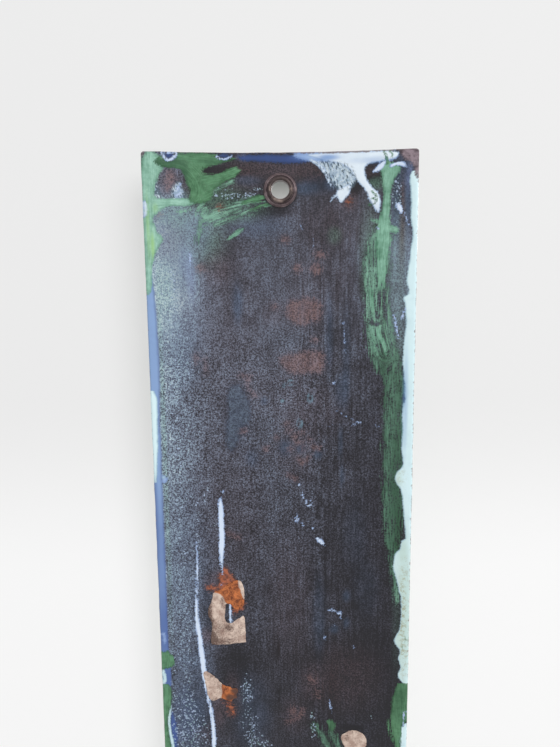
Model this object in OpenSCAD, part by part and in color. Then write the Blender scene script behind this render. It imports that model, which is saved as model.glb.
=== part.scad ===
// Narrow enamelled steel sign, hung by an eyelet at each end.
// The sheet bows out towards its printed front, which faces -Y. The back, +Y, is hollow and goes to the wall.
// The origin is the centre of the upper eyelet's hole, midway through the sheet. +Z points up the sign.

/* [Sheet] */
// Width across the long edges
plate_w = 100; // [60:1:200]
// Height of the sheet
plate_h = 300; // [150:1:600]
// Thickness of the steel with its enamel
plate_t = 1.6; // [1:0.1:3]
// How far the middle of the sheet stands in front of its long edges
camber = 4; // [1:0.5:8]
// Radius of the sheet's corners
corner_r = 1.5; // [1:0.1:8]

/* [Eyelets] */
// Distance from each end of the sheet to the centre of its eyelet
eyelet_drop = 13.5; // [10:0.5:30]
// Radius of the hole through an eyelet
bore_r = 3.3; // [2:0.1:5]
// Thickness of the metal that an eyelet is drawn from
barrel_wall = 0.35; // [0.2:0.05:0.5]
// Outside radius of the bends that form the crown on the front
crown_r = 0.9; // [0.6:0.1:1.5]
// Width of the flat ring between the two bends of the crown
crown_flat = 0.7; // [0.1:0.1:2]
// Outside radius of the curl that is rolled over on the back
curl_r = 0.7; // [0.55:0.05:1.2]

/* [Washers] */
// Thickness of the metal that a washer is pressed from
washer_t = 0.4; // [0.2:0.05:0.5]
// Outside radius of the raised bead round a washer
bead_r = 0.6; // [0.55:0.05:1]
// Width of the narrow rim outside the bead
rim_w = 0.15; // [0.1:0.05:0.5]

/* [Clearances] */
// Room between an eyelet's barrel and the punched hole
hole_gap = 0.15; // [0.05:0.05:0.3]
// Room between an eyelet's barrel and its washer
washer_gap = 0.1; // [0.05:0.05:0.2]
// Room between the rolled curl and the washer's bead
bead_gap = 0.05; // [0.02:0.01:0.2]
// Room left between two pieces that are pressed flat together
seat_gap = 0.02; // [0.01:0.01:0.05]

/* [Label scraps] */
// Thickness of the paper left on the back
paper_t = 0.2; // [0.1:0.05:0.4]
// From the long edge at +X to the zero point of the upper scrap
upper_scrap_in = 27; // [10:0.5:35]
// From the lower end of the sheet up to the zero point of the upper scrap
upper_scrap_up = 121.5; // [105:0.5:135]
// From the long edge at +X to the zero point of the middle scrap
middle_scrap_in = 23; // [9:0.5:35]
// From the lower end of the sheet up to the zero point of the middle scrap
middle_scrap_up = 89.5; // [75:0.5:98]
// From the long edge at -X to the centre of the lower scrap
lower_scrap_in = 21.5; // [9:0.5:35]
// From the lower end of the sheet up to the centre of the lower scrap
lower_scrap_up = 63.5; // [25:0.5:120]
// Half the width of the lower scrap
lower_scrap_r = 5.4; // [3:0.1:8]

/* [Hidden] */
$fn = 96;

// The sheet's own curve has a large radius, so it takes short steps
sheet_fn = 1440;
// Angle by which the revolved sheet is made too wide at each side, to be trimmed off
trim_angle = 1;
// Radius across an edge as a share of the thickness, over half so that it cuts the faces at an angle
bulge_share = 0.65;
// Inset of a corner's arc as a share of its radius, under one so that it cuts the edges at an angle
inset_share = 0.9;

edge_r = plate_t / 2;
half_chord = plate_w / 2 - edge_r;
bend_r = (half_chord * half_chord + camber * camber) / (2 * camber);
bend_angle = asin(half_chord / bend_r);
back_r = bend_r - edge_r;
over_angle = bend_angle + trim_angle;
bulge_r = bulge_share * plate_t;

plate_top = eyelet_drop;
plate_bottom = eyelet_drop - plate_h;
eyelet_pitch = plate_h - 2 * eyelet_drop;

barrel_r = bore_r + barrel_wall;
land_r = bore_r + 2 * curl_r + bead_gap;
washer_r = land_r + 2 * bead_r + rim_w;

// Depth of the hollow back across a disc of radius r
function hollow(r) = back_r - sqrt(back_r * back_r - r * r);

front_seat = -edge_r - seat_gap;
back_seat = edge_r + hollow(washer_r) + seat_gap;
curl_h = back_seat + washer_t + seat_gap + curl_r;

// Torn outline of the upper scrap: a label with its middle and one side gone
upper_scrap = [
    [6, 9], [2, 10], [-1, 12], [-3.5, 14], [-6, 13], [-7, 10], [-6.5, 8], [-7, 6.5], [-6.5, 2.5],
    [-3.5, -0.5], [-2, 0], [-2, 2], [-1.5, 4], [0.5, 4.5], [1, 3], [1, -4], [-1, -5], [-2.5, -4.5],
    [-4.5, -3.5], [-6.5, -2.5], [-7, -5], [-7.5, -9], [-7, -13], [-2, -13.5], [3, -13], [6, -12.5],
    [6.5, -9], [6.5, -5.5], [7.5, -1.5], [8, 0.5], [7, 2.5]
];
// Torn outline of the middle scrap: a corner that tapers to a brown tail
middle_scrap = [
    [6.5, 6], [4.7, 7.2], [3.4, 6.2], [1.8, 4.2], [-0.4, 2.2], [-1.5, 0], [-2.8, -1.2], [-6.2, -2.4],
    [-8, -2.8], [-8.4, -5], [-7.5, -6.7], [-5, -7.7], [-3.4, -7.4], [-1.7, -6], [0, -5.3], [1, -5.8],
    [2.6, -6.9], [3.7, -6.1], [5, -3.3], [5, 3.5]
];

// Wall of a tube, seen from its end
module ring(outer_r, wall) {
    difference() {
        circle(outer_r);
        circle(outer_r - wall);
    }
}

// Quarter of a bend, in the quadrant that the signs of side and up give
module quarter_bend(outer_r, wall, side, up) {
    intersection() {
        ring(outer_r, wall);
        translate([side < 0 ? -outer_r : 0, up < 0 ? -outer_r : 0]) square(outer_r);
    }
}

// Bar with bulged ends, lying along X, that the enamel's rounded edges follow
module bulged_bar(length, width) {
    bulge_at = length / 2 - bulge_r;
    square([2 * bulge_at, width], center = true);
    for (side = [-1, 1]) translate([side * bulge_at, 0]) circle(bulge_r);
}

// Upright section through the sheet, bulged at its top and bottom
module sheet_section() {
    intersection() {
        translate([-edge_r, 0]) square([plate_t, plate_h]);
        translate([0, plate_h / 2]) rotate(90) bulged_bar(plate_h, 2 * plate_t);
    }
}

// Revolves a profile, given as distance from the bend's axis, over more than the sheet's width
module about_bend_axis() {
    translate([0, bend_r, plate_bottom])
        rotate([0, 0, -90 - over_angle])
            rotate_extrude(angle = 2 * over_angle, $fn = sheet_fn) children();
}

// Column that trims the revolved sheet to its width and rounds its long edges
module width_column() {
    translate([0, camber, plate_bottom - plate_t]) linear_extrude(height = plate_h + 2 * plate_t)
        bulged_bar(plate_w, 4 * (camber + plate_t));
}

// What is trimmed off the four corners, right through the sheet
module corner_waste() {
    inset = inset_share * corner_r;
    for (side = [-1, 1], end_z = [plate_top, plate_bottom])
        translate([side * (plate_w / 2 - inset), camber + plate_t, end_z])
            mirror([side < 0 ? 1 : 0, 0, 0]) mirror([0, 0, end_z < 0 ? 1 : 0])
                translate([0, 0, -inset]) rotate([90, 0, 0])
                    linear_extrude(height = 2 * (camber + plate_t)) difference() {
                        square(2 * corner_r);
                        circle(corner_r);
                    }
}

// Turns a piece made along +Z so that it runs from the front of the sheet to its back
module across_sheet(z) {
    translate([0, 0, z]) rotate([-90, 0, 0]) children();
}

module sign_plate() {
    color("#3a3336")
    difference() {
        intersection() {
            about_bend_axis() translate([bend_r, 0]) sheet_section();
            width_column();
        }
        for (z = [0, -eyelet_pitch]) across_sheet(z)
            cylinder(h = 4 * plate_t, r = barrel_r + hole_gap, center = true);
        corner_waste();
    }
}

// Drawn eyelet in one thickness of metal: crown on the front, barrel, and rolled curl on the back
module eyelet(z) {
    color("#6b5a54")
    across_sheet(z) rotate_extrude() {
        translate([bore_r + crown_r, front_seat]) quarter_bend(crown_r, barrel_wall, -1, -1);
        translate([bore_r + crown_r, front_seat - crown_r]) square([crown_flat, barrel_wall]);
        translate([bore_r + crown_r + crown_flat, front_seat])
            quarter_bend(crown_r, barrel_wall, 1, -1);
        translate([bore_r, front_seat]) square([barrel_wall, curl_h - front_seat]);
        translate([bore_r + curl_r, curl_h]) {
            quarter_bend(curl_r, barrel_wall, -1, 1);
            quarter_bend(curl_r, barrel_wall, 1, 1);
            quarter_bend(curl_r, barrel_wall, 1, -1);
        }
    }
}

// Pressed washer: a flat land under the curl, a hollow bead and a narrow rim
module washer(z) {
    bead_at = land_r + bead_r;
    color("#77686a")
    across_sheet(z) rotate_extrude() translate([0, back_seat]) {
        translate([barrel_r + washer_gap, 0])
            square([land_r + washer_t / 2 - barrel_r - washer_gap, washer_t]);
        translate([bead_at, 0]) {
            quarter_bend(bead_r, washer_t, -1, 1);
            quarter_bend(bead_r, washer_t, 1, 1);
        }
        translate([bead_at + bead_r - washer_t / 2, 0])
            square([washer_t / 2 + rim_w, washer_t / 2]);
    }
}

// Paper that follows the hollow back of the sheet, cut to an outline
module label_scrap(x, up) {
    color("#cfbcab")
    intersection() {
        translate([x, camber + plate_t, plate_bottom + up]) rotate([90, 0, 0])
            linear_extrude(height = 2 * (camber + plate_t)) children();
        about_bend_axis() translate([back_r - seat_gap - paper_t, 0]) square([paper_t, plate_h]);
    }
}

module upper_label_scrap() {
    label_scrap(plate_w / 2 - upper_scrap_in, upper_scrap_up) polygon(upper_scrap);
}

module middle_label_scrap() {
    label_scrap(plate_w / 2 - middle_scrap_in, middle_scrap_up) polygon(middle_scrap);
}

module lower_label_scrap() {
    label_scrap(lower_scrap_in - plate_w / 2, lower_scrap_up) circle(lower_scrap_r);
}

sign_plate();
eyelet(0);  // upper_eyelet
washer(0);  // upper_washer
eyelet(-eyelet_pitch);  // lower_eyelet
washer(-eyelet_pitch);  // lower_washer
upper_label_scrap();
middle_label_scrap();
lower_label_scrap();
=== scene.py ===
# Looks of a narrow enamelled steel sign, seen from its hollow back.
# Places and sizes are millimetres, and turn to metres when a mesh or a lamp is made.
# X runs across the sheet, Z runs up it, and +Y comes out of its back. The origin is in the upper eyelet.
import functools
import math

import bpy
import numpy as np
from mathutils import Matrix, Vector
from mathutils.geometry import delaunay_2d_cdt


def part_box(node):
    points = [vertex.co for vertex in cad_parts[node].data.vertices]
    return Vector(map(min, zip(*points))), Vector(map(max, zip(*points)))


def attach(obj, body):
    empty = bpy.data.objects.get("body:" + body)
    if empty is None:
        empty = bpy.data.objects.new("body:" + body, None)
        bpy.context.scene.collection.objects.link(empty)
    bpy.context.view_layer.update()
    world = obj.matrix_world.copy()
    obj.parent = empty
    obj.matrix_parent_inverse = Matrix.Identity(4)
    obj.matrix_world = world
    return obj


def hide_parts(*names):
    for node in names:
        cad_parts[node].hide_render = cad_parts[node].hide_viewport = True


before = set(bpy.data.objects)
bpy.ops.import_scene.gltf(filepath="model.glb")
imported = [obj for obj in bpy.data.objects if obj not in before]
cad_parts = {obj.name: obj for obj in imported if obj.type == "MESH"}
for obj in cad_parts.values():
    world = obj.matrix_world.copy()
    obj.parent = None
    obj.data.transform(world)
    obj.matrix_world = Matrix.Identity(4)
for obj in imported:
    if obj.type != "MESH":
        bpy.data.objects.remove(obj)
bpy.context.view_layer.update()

MM = 0.001
MM_IN_METRE = 1000
sheet_low, sheet_high = (MM_IN_METRE * np.array(corner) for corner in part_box("sign_plate"))
eyelet_heights = [MM_IN_METRE * sum(c.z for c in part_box(n)) / 2 for n in ("upper_eyelet", "lower_eyelet")]
washer_r = MM_IN_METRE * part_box("upper_washer")[1].x

# The sheet's bend, as the maker rolled it
camber = 4.0
cad_half_t = 0.8
half_chord = sheet_high[0] - cad_half_t
bend_r = (half_chord**2 + camber**2) / (2 * camber)

# Away from its eyelets the sheet is a little thinner than the CAD's, so that thick enamel still fits on it
half_t = 0.66
corner_r = 0.35
# How far in from its long edges the sheet's grid bends to make the corners round
drawn_in = 3

# It keeps its full thickness this far past the washers, and thins over this many millimetres more
seat_past = 0.4
seat_fade = 3

# Holes in the sheet under the eyelets, and the rings of faces that lead from a square patch to each hole
hole_r = 3.85
patch_half = 7.6
hole_rings = 9

# On the front, enamel has flaked off to these distances from the rim and from the middle of an eyelet. The
# flakes are this deep, and their edges slope over this much
rim_flaked = 0.5
crown_flaked = 6.6
flake_deep = 0.09
flake_slope = 0.5

# Faces from one side of the sheet to the other round its rim, and how far the rim stands out
rim_steps = 7
rim_out = 0.72

# Distances to shapes are kept under this, so that a shape is worked out only near itself
far = 4.0

# Cells of random numbers that a wave repeats after, and a shift that keeps each cell's number over zero
wave_cells = (97, 89)
wave_shift = 500

# A hem's outline is followed at this many places, and smoothed over this many of them
hem_places = 900
hem_blur = 7

# The steps between grid lines are added up at this many places
grid_places = 6000


# Numbers: smooth random waves and signed distances

def ease(share):
    """From 0 to 1 with a level start and end."""
    return share * share * (3 - 2 * share)


def ripple(at, size, seed):
    """Smooth waves from -1 to 1, about size millimetres from crest to crest, at points (n, 2)."""
    cells = np.random.default_rng(seed).uniform(-1, 1, wave_cells)
    place = np.asarray(at, float) / size + wave_shift
    cell = np.floor(place).astype(int)
    share = ease(place - cell)
    a, b = (cell % wave_cells).T
    c, d = ((cell + 1) % wave_cells).T
    low = cells[a, b] * (1 - share[:, 0]) + cells[c, b] * share[:, 0]
    high = cells[a, d] * (1 - share[:, 0]) + cells[c, d] * share[:, 0]
    return low * (1 - share[:, 1]) + high * share[:, 1]


def rounded(points, closed):
    """Cuts the corners of a given line twice, so that it flows as wet enamel does."""
    line = np.array(points, float)
    for _ in range(2):
        end = np.roll(line, -1, 0) if closed else line[1:]
        start = line if closed else line[:-1]
        cut = np.stack([0.75 * start + 0.25 * end, 0.25 * start + 0.75 * end], 1).reshape(-1, line.shape[1])
        line = cut if closed else np.vstack([line[:1], cut, line[-1:]])
    return line


def gap_to(at, a, b):
    """Distance from each point to the line from a to b, and how far along that line it is."""
    way = b[:2] - a[:2]
    share = np.clip((at - a[:2]) @ way / max(way @ way, 1e-9), 0, 1)
    away = at - a[:2] - share[:, None] * way
    return np.hypot(away[:, 0], away[:, 1]), share


def run(at, points):
    """A brush run or a dribble, given as (x, z, width)."""
    best = np.full(len(at), -far)
    line = rounded(points, False)
    for a, b in zip(line, line[1:]):
        gap, share = gap_to(at, a, b)
        best = np.maximum(best, (a[2] + (b[2] - a[2]) * share) / 2 - gap)
    return best


def patch(at, points):
    """A closed outline, given as (x, z)."""
    loop = rounded(points, True)
    gap = np.full(len(at), far)
    inside = np.zeros(len(at), bool)
    for a, b in zip(loop, np.roll(loop, -1, 0)):
        gap = np.minimum(gap, gap_to(at, a, b)[0])
        spans = (a[1] > at[:, 1]) != (b[1] > at[:, 1])
        rise = b[1] - a[1] if abs(b[1] - a[1]) > 1e-9 else 1e-9
        inside ^= spans & (at[:, 0] < a[0] + (at[:, 1] - a[1]) * (b[0] - a[0]) / rise)
    return np.where(inside, gap, -gap)


def dots(at, points):
    """Round or oval drops, given as (x, z, half width, half height)."""
    best = np.full(len(at), -far)
    for x, z, half_wide, half_high in points:
        away = np.hypot((at[:, 0] - x) / half_wide, (at[:, 1] - z) / half_high)
        best = np.maximum(best, (1 - away) * min(half_wide, half_high))
    return best


def hem(at, points, side):
    """Enamel that hugs a long edge, and reaches in from it to the places (z, x), given going down."""
    z, x = np.array(points, float)[::-1].T
    down = np.linspace(z[0], z[-1], hem_places)
    padded = np.pad(np.interp(down, z, x), hem_blur // 2, "edge")
    inner = np.convolve(padded, np.ones(hem_blur) / hem_blur, "valid")
    slope = np.gradient(inner, down)
    gap = side * at[:, 0] - np.interp(at[:, 1], down, inner)
    gap /= np.hypot(1, np.interp(at[:, 1], down, slope))
    return np.where((at[:, 1] > z[-1]) | (at[:, 1] < z[0]), -far, gap)


SHAPES = {
    "run": run,
    "patch": patch,
    "dots": dots,
    "hem_left": functools.partial(hem, side=1),
    "hem_right": functools.partial(hem, side=-1),
}


def field(at, shapes):
    """Signed distance to a list of shapes, in which a shape called bare is cut out of those before it."""
    best = np.full(len(at), -far)
    for kind, points in shapes:
        near = np.ones(len(at), bool)
        if "hem" not in kind:
            spread = np.array([p[:2] for p in points], float)
            margin = far + max(max(p[2:], default=0) for p in points)
            near = np.all((at > spread.min(0) - margin) & (at < spread.max(0) + margin), 1)
        if near.any():
            gap = SHAPES[kind.replace("bare_", "")](at[near], points)
            cut_out = kind.startswith("bare_")
            best[near] = np.minimum(best[near], -gap) if cut_out else np.maximum(best[near], gap)
    return np.clip(best, -far, far)


# What is on the back, layer by layer, as it was brushed, spilled, stained and rusted

green_brush = [
    ("patch", [(-38.8, -12), (-34, -15), (-31.4, -22), (-30.6, -32), (-31.4, -40), (-32, -50), (-33, -60),
               (-35.4, -66), (-38.6, -69), (-39, -80), (-38.8, -95), (-39, -110), (-38.8, -122),
               (-40.5, -136), (-42.6, -146), (-43.8, -160), (-45.8, -160), (-45.6, -146), (-44.8, -134),
               (-46.6, -124), (-46.5, -112), (-45.2, -105), (-46.6, -96), (-46.4, -80), (-45.2, -66),
               (-42.4, -58), (-41.8, -50), (-39.8, -40), (-40, -26), (-41, -14)]),
    ("bare_run", [(-36.2, -37, .6), (-36.6, -42, 1.6), (-36, -47, .8)]),
    ("bare_run", [(-38, -36.4, .8), (-38.4, -42, 1.8), (-38.8, -47, .6)]),
    ("bare_run", [(-32.4, -47.6, 1), (-34.4, -49.4, 1.6), (-36.6, -49.2, .8)]),
    ("bare_run", [(-39.4, -28, .4), (-39.6, -36, .8)]),
    ("run", [(1, -4.8, .8), (5.5, -5, .9), (9.2, -6.8, 1.1), (12.4, -7.7, 1.1), (17.4, -9.5, 1),
             (24, -12, .8)]),
    ("run", [(9, -3.3, 2.4), (15.5, -5, 1.8), (25.1, -7.7, 1.4)]),
    ("run", [(17.4, 3, 1.4), (21, 1.5, 2), (25.5, 0, 2)]),
    ("run", [(26.9, -10.4, 2.6), (20, -8, 2.4), (15, -6.2, 1)]),
    ("run", [(31, -18, 1), (29, -12, 2.6), (27.4, -7, 2.6)]),
    ("run", [(-11.7, -216, 1.2), (-15.5, -221, 2.2), (-18, -227, 2.6)]),
    ("run", [(-19, -219, 1.8), (-22, -225, 2.2), (-23, -229, 1.2)]),
]
blue_line = [
    ("hem_left", [(-27, 48.4), (-30, 47.6), (-36, 46.9), (-44, 46.4), (-60, 46.1), (-72, 46.2),
                  (-84, 46.8), (-93, 46.6), (-99, 46.5), (-104, 46.7), (-120, 46.7), (-150, 46.8),
                  (-181, 46.8)]),
    ("hem_left", [(-186, 46.2), (-196, 46.2)]),
]
# A leaf-shaped mark where the ground coat has turned grey-blue
bloomed = [
    ("patch", [(19, -71.6), (15.8, -72.4), (13.4, -77), (12.4, -82), (12.8, -86.4), (15.4, -88.6),
               (17, -92), (18.4, -97), (20.8, -99), (22.4, -94), (21.8, -87), (20.4, -82.6),
               (21.4, -76)]),
    ("dots", [(-.8, -97, 1.6, 2), (-13.6, -100, 1, 1), (-7, -97.6, 1.2, 1)]),
]
navy_enamel = [
    ("patch", [(15.4, 12.7), (15, 10.4), (8, 10.1), (1, 9.7), (-5, 9.2), (-10.4, 9.6), (-12, 11),
               (-6, 12.5)]),
    ("patch", [(38, 12.9), (42, 12.9), (41.2, 11.6), (40, 10.6), (38.8, 11.6)]),
    ("dots", [(20.3, 12.1, 2.2, .8)]),
    ("patch", [(47, -205.5), (45.8, -208.4), (44.6, -213), (44.4, -219), (45, -228), (45.6, -240),
               (46.8, -228), (47.3, -213)]),
]
rings = [
    ("dots", [(-3.3, -71.4, 1.3, 1.3), (-.6, -72.5, 1, 1), (-10.6, -77.5, 1.3, 1.9), (.1, -78.6, .8, .8),
              (-6.6, -87.6, 1.3, 2)]),
    ("bare_dots", [(-3.3, -71.4, .7, .7), (-.6, -72.5, .5, .5), (-10.6, -77.5, .7, 1.2),
                   (-6.6, -87.6, .7, 1.3)]),
]
lavender_enamel = [
    ("patch", [(-4, 12.9), (-12, 13.2), (-30, 12.9), (-42.3, 12.7), (-42.6, 10.4), (-40.4, 9.4),
               (-37.6, 9), (-35.6, 9.2), (-31, 8.8), (-27, 8.2), (-22, 9), (-17, 9.4), (-13.4, 9.6),
               (-9.6, 10.2), (-6, 11.2)]),
    ("patch", [(46.8, -106.4), (46, -106.6), (44.6, -107.6), (44.5, -108.8), (45.3, -109.6),
               (46.9, -110.2)]),
    ("dots", [(48.5, -172.3, .7, .8), (48.2, -174.6, .6, 1.6)]),
    ("run", [(36.5, 2, .9), (37.1, .2, 2), (37.3, -1.9, 2.8)]),
]
white_pour = [
    ("patch", [(-9, 12.4), (-14, 12.9), (-24, 13), (-36, 12.9), (-42.6, 12.8), (-42.6, 10.9),
               (-40.6, 9.8), (-38, 9.4), (-35.8, 9.2), (-32, 8.8), (-30.6, 7.4), (-30.8, 4.8), (-32, 2.2),
               (-33.6, .2), (-36, -1.8), (-36.8, -5), (-36, -8.8), (-35, -8.4), (-33.8, -6.4),
               (-32.6, -4.4), (-31.8, -2), (-30.3, .2), (-28.5, 2.2), (-26.8, 4.4), (-26, 6.4), (-24, 8),
               (-20, 9.4), (-14, 10.8)]),
    ("run", [(-11, 10.6, .9), (-13.4, 9.4, 1.2), (-15.4, 7.4, 1.3), (-16.8, 5.2, 1.1), (-17.7, 3, 1),
             (-18.8, 1, .6), (-19.2, .4, .3)]),
    ("patch", [(-21.4, .4), (-20.4, -1), (-20.8, -3), (-21.8, -4.8), (-22.8, -5), (-24, -3.4),
               (-25.4, -1.4), (-25.8, .8), (-25.6, 2.4), (-23.6, 1)]),
    ("run", [(-20.8, -1.8, 1), (-19.4, -2.9, .9), (-18.4, -4.2, .4)]),
]
web = [
    ("patch", [(-13, 10), (-17, 9.6), (-22, 9.2), (-27, 8.2), (-27.6, 5), (-26.8, 2), (-26, .4),
               (-22.8, -.2), (-20.6, .8), (-19, 3), (-17, 5.6), (-15, 8)]),
    ("run", [(36.6, 2.2, .8), (37.4, .4, 3), (37.2, -2.2, 4.4)]),
    ("run", [(45.2, 2.4, .8), (45.3, -.4, 1.4), (44, -2.2, 1.2)]),
]
pale_enamel = [
    ("hem_right", [(5.6, 47.6), (4.4, 46.6), (1.4, 46.7), (-4.1, 47.2), (-10.5, 47.2), (-13.2, 47.6),
                   (-16.8, 48.1), (-21.4, 47.4), (-25.9, 47.2), (-30.5, 46.5), (-34, 46.1), (-36, 46.9),
                   (-38.6, 47), (-39, 44.9), (-40, 45), (-41.8, 46), (-45, 45.8), (-48.6, 46.3),
                   (-53.2, 45.8), (-60.5, 45.4), (-64.5, 45.4), (-67.7, 45.8), (-72.7, 46.3),
                   (-77.3, 46.5), (-80.5, 45.8), (-85, 45.4), (-89.5, 45.8), (-94, 45.6), (-98, 45.4),
                   (-101, 46.1), (-104, 46.2), (-105, 45.1), (-106.6, 43.7), (-108.6, 43.1), (-111, 43.8),
                   (-113, 45.4), (-116, 46), (-120, 46.5), (-126, 47), (-130.5, 47.4), (-133.4, 47.6),
                   (-134.4, 46), (-137.8, 45.6), (-139.5, 43.8), (-142.3, 43.2), (-145, 43.1),
                   (-148.2, 43.8), (-151, 44.7), (-154, 45.4), (-157.7, 46.3), (-162.3, 46.5),
                   (-168.6, 46.5), (-171.6, 46.3), (-174, 44.9), (-176.4, 44), (-178.2, 44.7),
                   (-179.6, 45.8), (-181, 46.5), (-183.2, 45.8), (-187.2, 46.5), (-188.6, 46.8),
                   (-190, 45.8), (-191.6, 45.5), (-193.2, 46.3), (-194.2, 47.3), (-196, 49.2)]),
    ("hem_right", [(-212, 49.2), (-214.4, 47.4), (-217, 46.9), (-223, 47.1), (-240, 47.2), (-262, 46.8),
                   (-287, 46.9)]),
    ("hem_left", [(-73, 48.8), (-76, 47.4), (-86, 47.5), (-96, 47.8), (-104, 48.4), (-110, 48.9)]),
    ("run", [(46.9, -204, .6), (47.7, -209, 1.1), (47.8, -213, 1.1), (47.3, -217, 1.2), (46.7, -221, 1.3),
             (46.5, -228, 1.5), (46.9, -240, 1.1), (46.6, -262, 1.3), (46.8, -284, 1)]),
    ("run", [(49.3, -187.4, .8), (48.9, -189.4, 1.4), (48.6, -191.4, 1.3), (49, -193.4, 1.2)]),
    ("run", [(49.2, -200, .6), (48.9, -202, .8), (49.3, -204, .3)]),
    ("run", [(-46.2, -220, 1), (-47, -221.4, .8), (-47.2, -222.4, .4)]),
    ("dots", [(45.9, -107.6, .9, .5)]),
]
mint_enamel = [
    ("patch", [(50.6, 14), (43.2, 12.6), (42.4, 9.8), (41.6, 7.8), (43.2, 6), (44.4, 3.4), (45.3, .6),
               (45.8, -1.6), (45.2, -2.7), (41, -2.9), (33, -2.8), (31, -3.6), (31.4, -5.4), (36, -5.5),
               (41, -5.5), (44.9, -8.2), (46.5, -9.8), (46, -12.3), (44.6, -15.7), (42.4, -16.8),
               (44.2, -19.5), (46, -22.7), (47.1, -26.8), (47.5, -31), (48, -37), (50.6, -38)]),
    ("run", [(28.4, -4.4, 1.2), (29.6, -5.8, 1.1), (30.4, -7.2, .9), (30.7, -9, .5)]),
    ("run", [(37.8, -7.7, .5), (35, -7.4, .6), (32.8, -6.8, .4)]),
    ("run", [(25.1, -11.4, .4), (23, -10.9, .6), (21.5, -10.5, .3)]),
    ("run", [(19.8, -17.6, .5), (17, -15.8, 1.2), (15, -14.4, 1.2), (13.5, -13.5, .5)]),
    ("patch", [(-37.4, 10.4), (-39, 9.4), (-41, 8.6), (-43.4, 7.6), (-43.2, 5.4), (-41.4, 3.4),
               (-40.3, .4), (-39.9, -4), (-39.9, -8.6), (-40, -12), (-40.4, -17), (-40, -21), (-39, -26),
               (-38.8, -32), (-39, -36.4), (-38.2, -37), (-37.8, -34), (-37, -34), (-36.7, -37.4),
               (-36, -36), (-35.6, -32), (-35.2, -25), (-34.9, -17), (-35.6, -12), (-36.6, -8.6),
               (-37.4, -4), (-37.4, 0), (-36.9, 3), (-36.2, 6), (-36.4, 8)]),
    ("run", [(-33.2, -36, 1.2), (-33.6, -41, 1.8), (-34.2, -46.5, .8)]),
    ("run", [(-35.4, -51, .8), (-37.6, -55, 1.8), (-39.6, -61, .8)]),
    ("run", [(-33.6, -53.4, .6), (-34.6, -57, 1), (-35.4, -61, .5)]),
    ("run", [(-37.6, -12.8, 1.8), (-39.4, -14, 2.3), (-41.9, -15, 2.4)]),
    ("run", [(-36.8, -12.4, 1.2), (-35, -11.9, 1), (-33.5, -11.1, .4)]),
    ("run", [(48.4, -196, 1), (48, -203, 1.4)]),
]
green_enamel = [
    ("patch", [(45.8, 9.9), (44.4, 10.5), (43, 12.4), (38, 12.9), (30, 12.8), (22, 12.9), (16.4, 11.6),
               (16, 10.6), (19.6, 10.1), (25.1, 8.7), (28, 7.6), (28.6, 6.4), (26.4, 5.2), (22, 6),
               (19.4, 7.4), (16.4, 8.3), (14.3, 7.5), (14.5, 6.2), (17.4, 4.3), (19.8, 3.1), (22.4, 1.6),
               (24.6, 0), (24.9, -2.2), (26.6, -4.2), (29.4, -4.9), (32.6, -4.5), (33.8, -3.2),
               (32.6, -1.8), (33, .5), (34, 2.6), (34.8, 5.4), (36.2, 7.4), (38.5, 8), (41, 7.6),
               (42.8, 8), (44.2, 9)]),
    ("bare_dots", [(39.9, 11.8, 2.3, 1.6), (20.3, 12, 2.9, 1.2)]),
    ("run", [(28.8, 2.6, 1.4), (24, 3.4, 1.6), (19, 4.6, 1), (16.8, 5.2, .4)]),
    ("run", [(5.2, -2.3, 1), (7.6, -2.7, 2.6), (10.5, -3.3, 2), (14, -4.4, .8)]),
    ("run", [(3.6, -4.7, .5), (6.4, -5.2, 1), (9.2, -6.5, .9), (11.6, -7.4, .4)]),
    ("run", [(-37.4, 12.8, .5), (-38, 11, 1.2), (-38.4, 9, 1.8)]),
    ("run", [(-39.6, 12.6, .4), (-40.6, 11.6, .7), (-39.8, 10.4, .4)]),
    ("run", [(-33.4, -3.4, .5), (-35, -4.2, .9), (-34.2, -5.6, .6), (-32, -6, .3)]),
    ("patch", [(50.6, -180), (48.6, -180), (47.2, -179.6), (46.3, -180.8), (45, -182.4), (44.4, -184.4),
               (45, -186.6), (46.8, -187.4), (48.8, -187.4), (50.6, -188)]),
    ("hem_left", [(-193.6, 48.6), (-195, 46.6), (-200, 46.1), (-203.5, 46.7), (-206, 47.4), (-209, 48.2),
                  (-214, 48.2), (-218, 47.7), (-222, 47.2), (-232, 47), (-246, 47.5), (-264, 47.1),
                  (-287, 47.4)]),
    ("hem_right", [(-194.4, 45.8), (-198, 44.9), (-202, 43.8), (-206, 43.5), (-210.5, 43.3), (-214, 43.3),
                   (-217, 43.8), (-219.5, 44.5), (-224, 45.2), (-230, 46.2), (-236, 47.6), (-238, 49)]),
    ("bare_hem_right", [(-211.4, 49.8), (-214.6, 47.7), (-223, 47.4), (-240, 47.5), (-262, 47.1),
                        (-287, 47.2)]),
    ("patch", [(-16.6, -214.4), (-18.2, -213.4), (-19.4, -213.6), (-20.8, -215.2), (-20.4, -217.6),
               (-19.3, -219.4), (-18.4, -217.6)]),
    ("run", [(-42.2, -211.4, .3), (-42.4, -214.5, .6), (-43.1, -218.2, .7), (-43.9, -221.2, .4)]),
    ("dots", [(-48.4, -175.6, .4, .7), (-47.4, -178.8, .5, .4)]),
    ("run", [(-33, -1, .3), (-34.6, -2, .7), (-35.4, -3.2, .4)]),
    ("run", [(-44, -135.4, 1), (-44.8, -137.4, .8)]),
]
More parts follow.
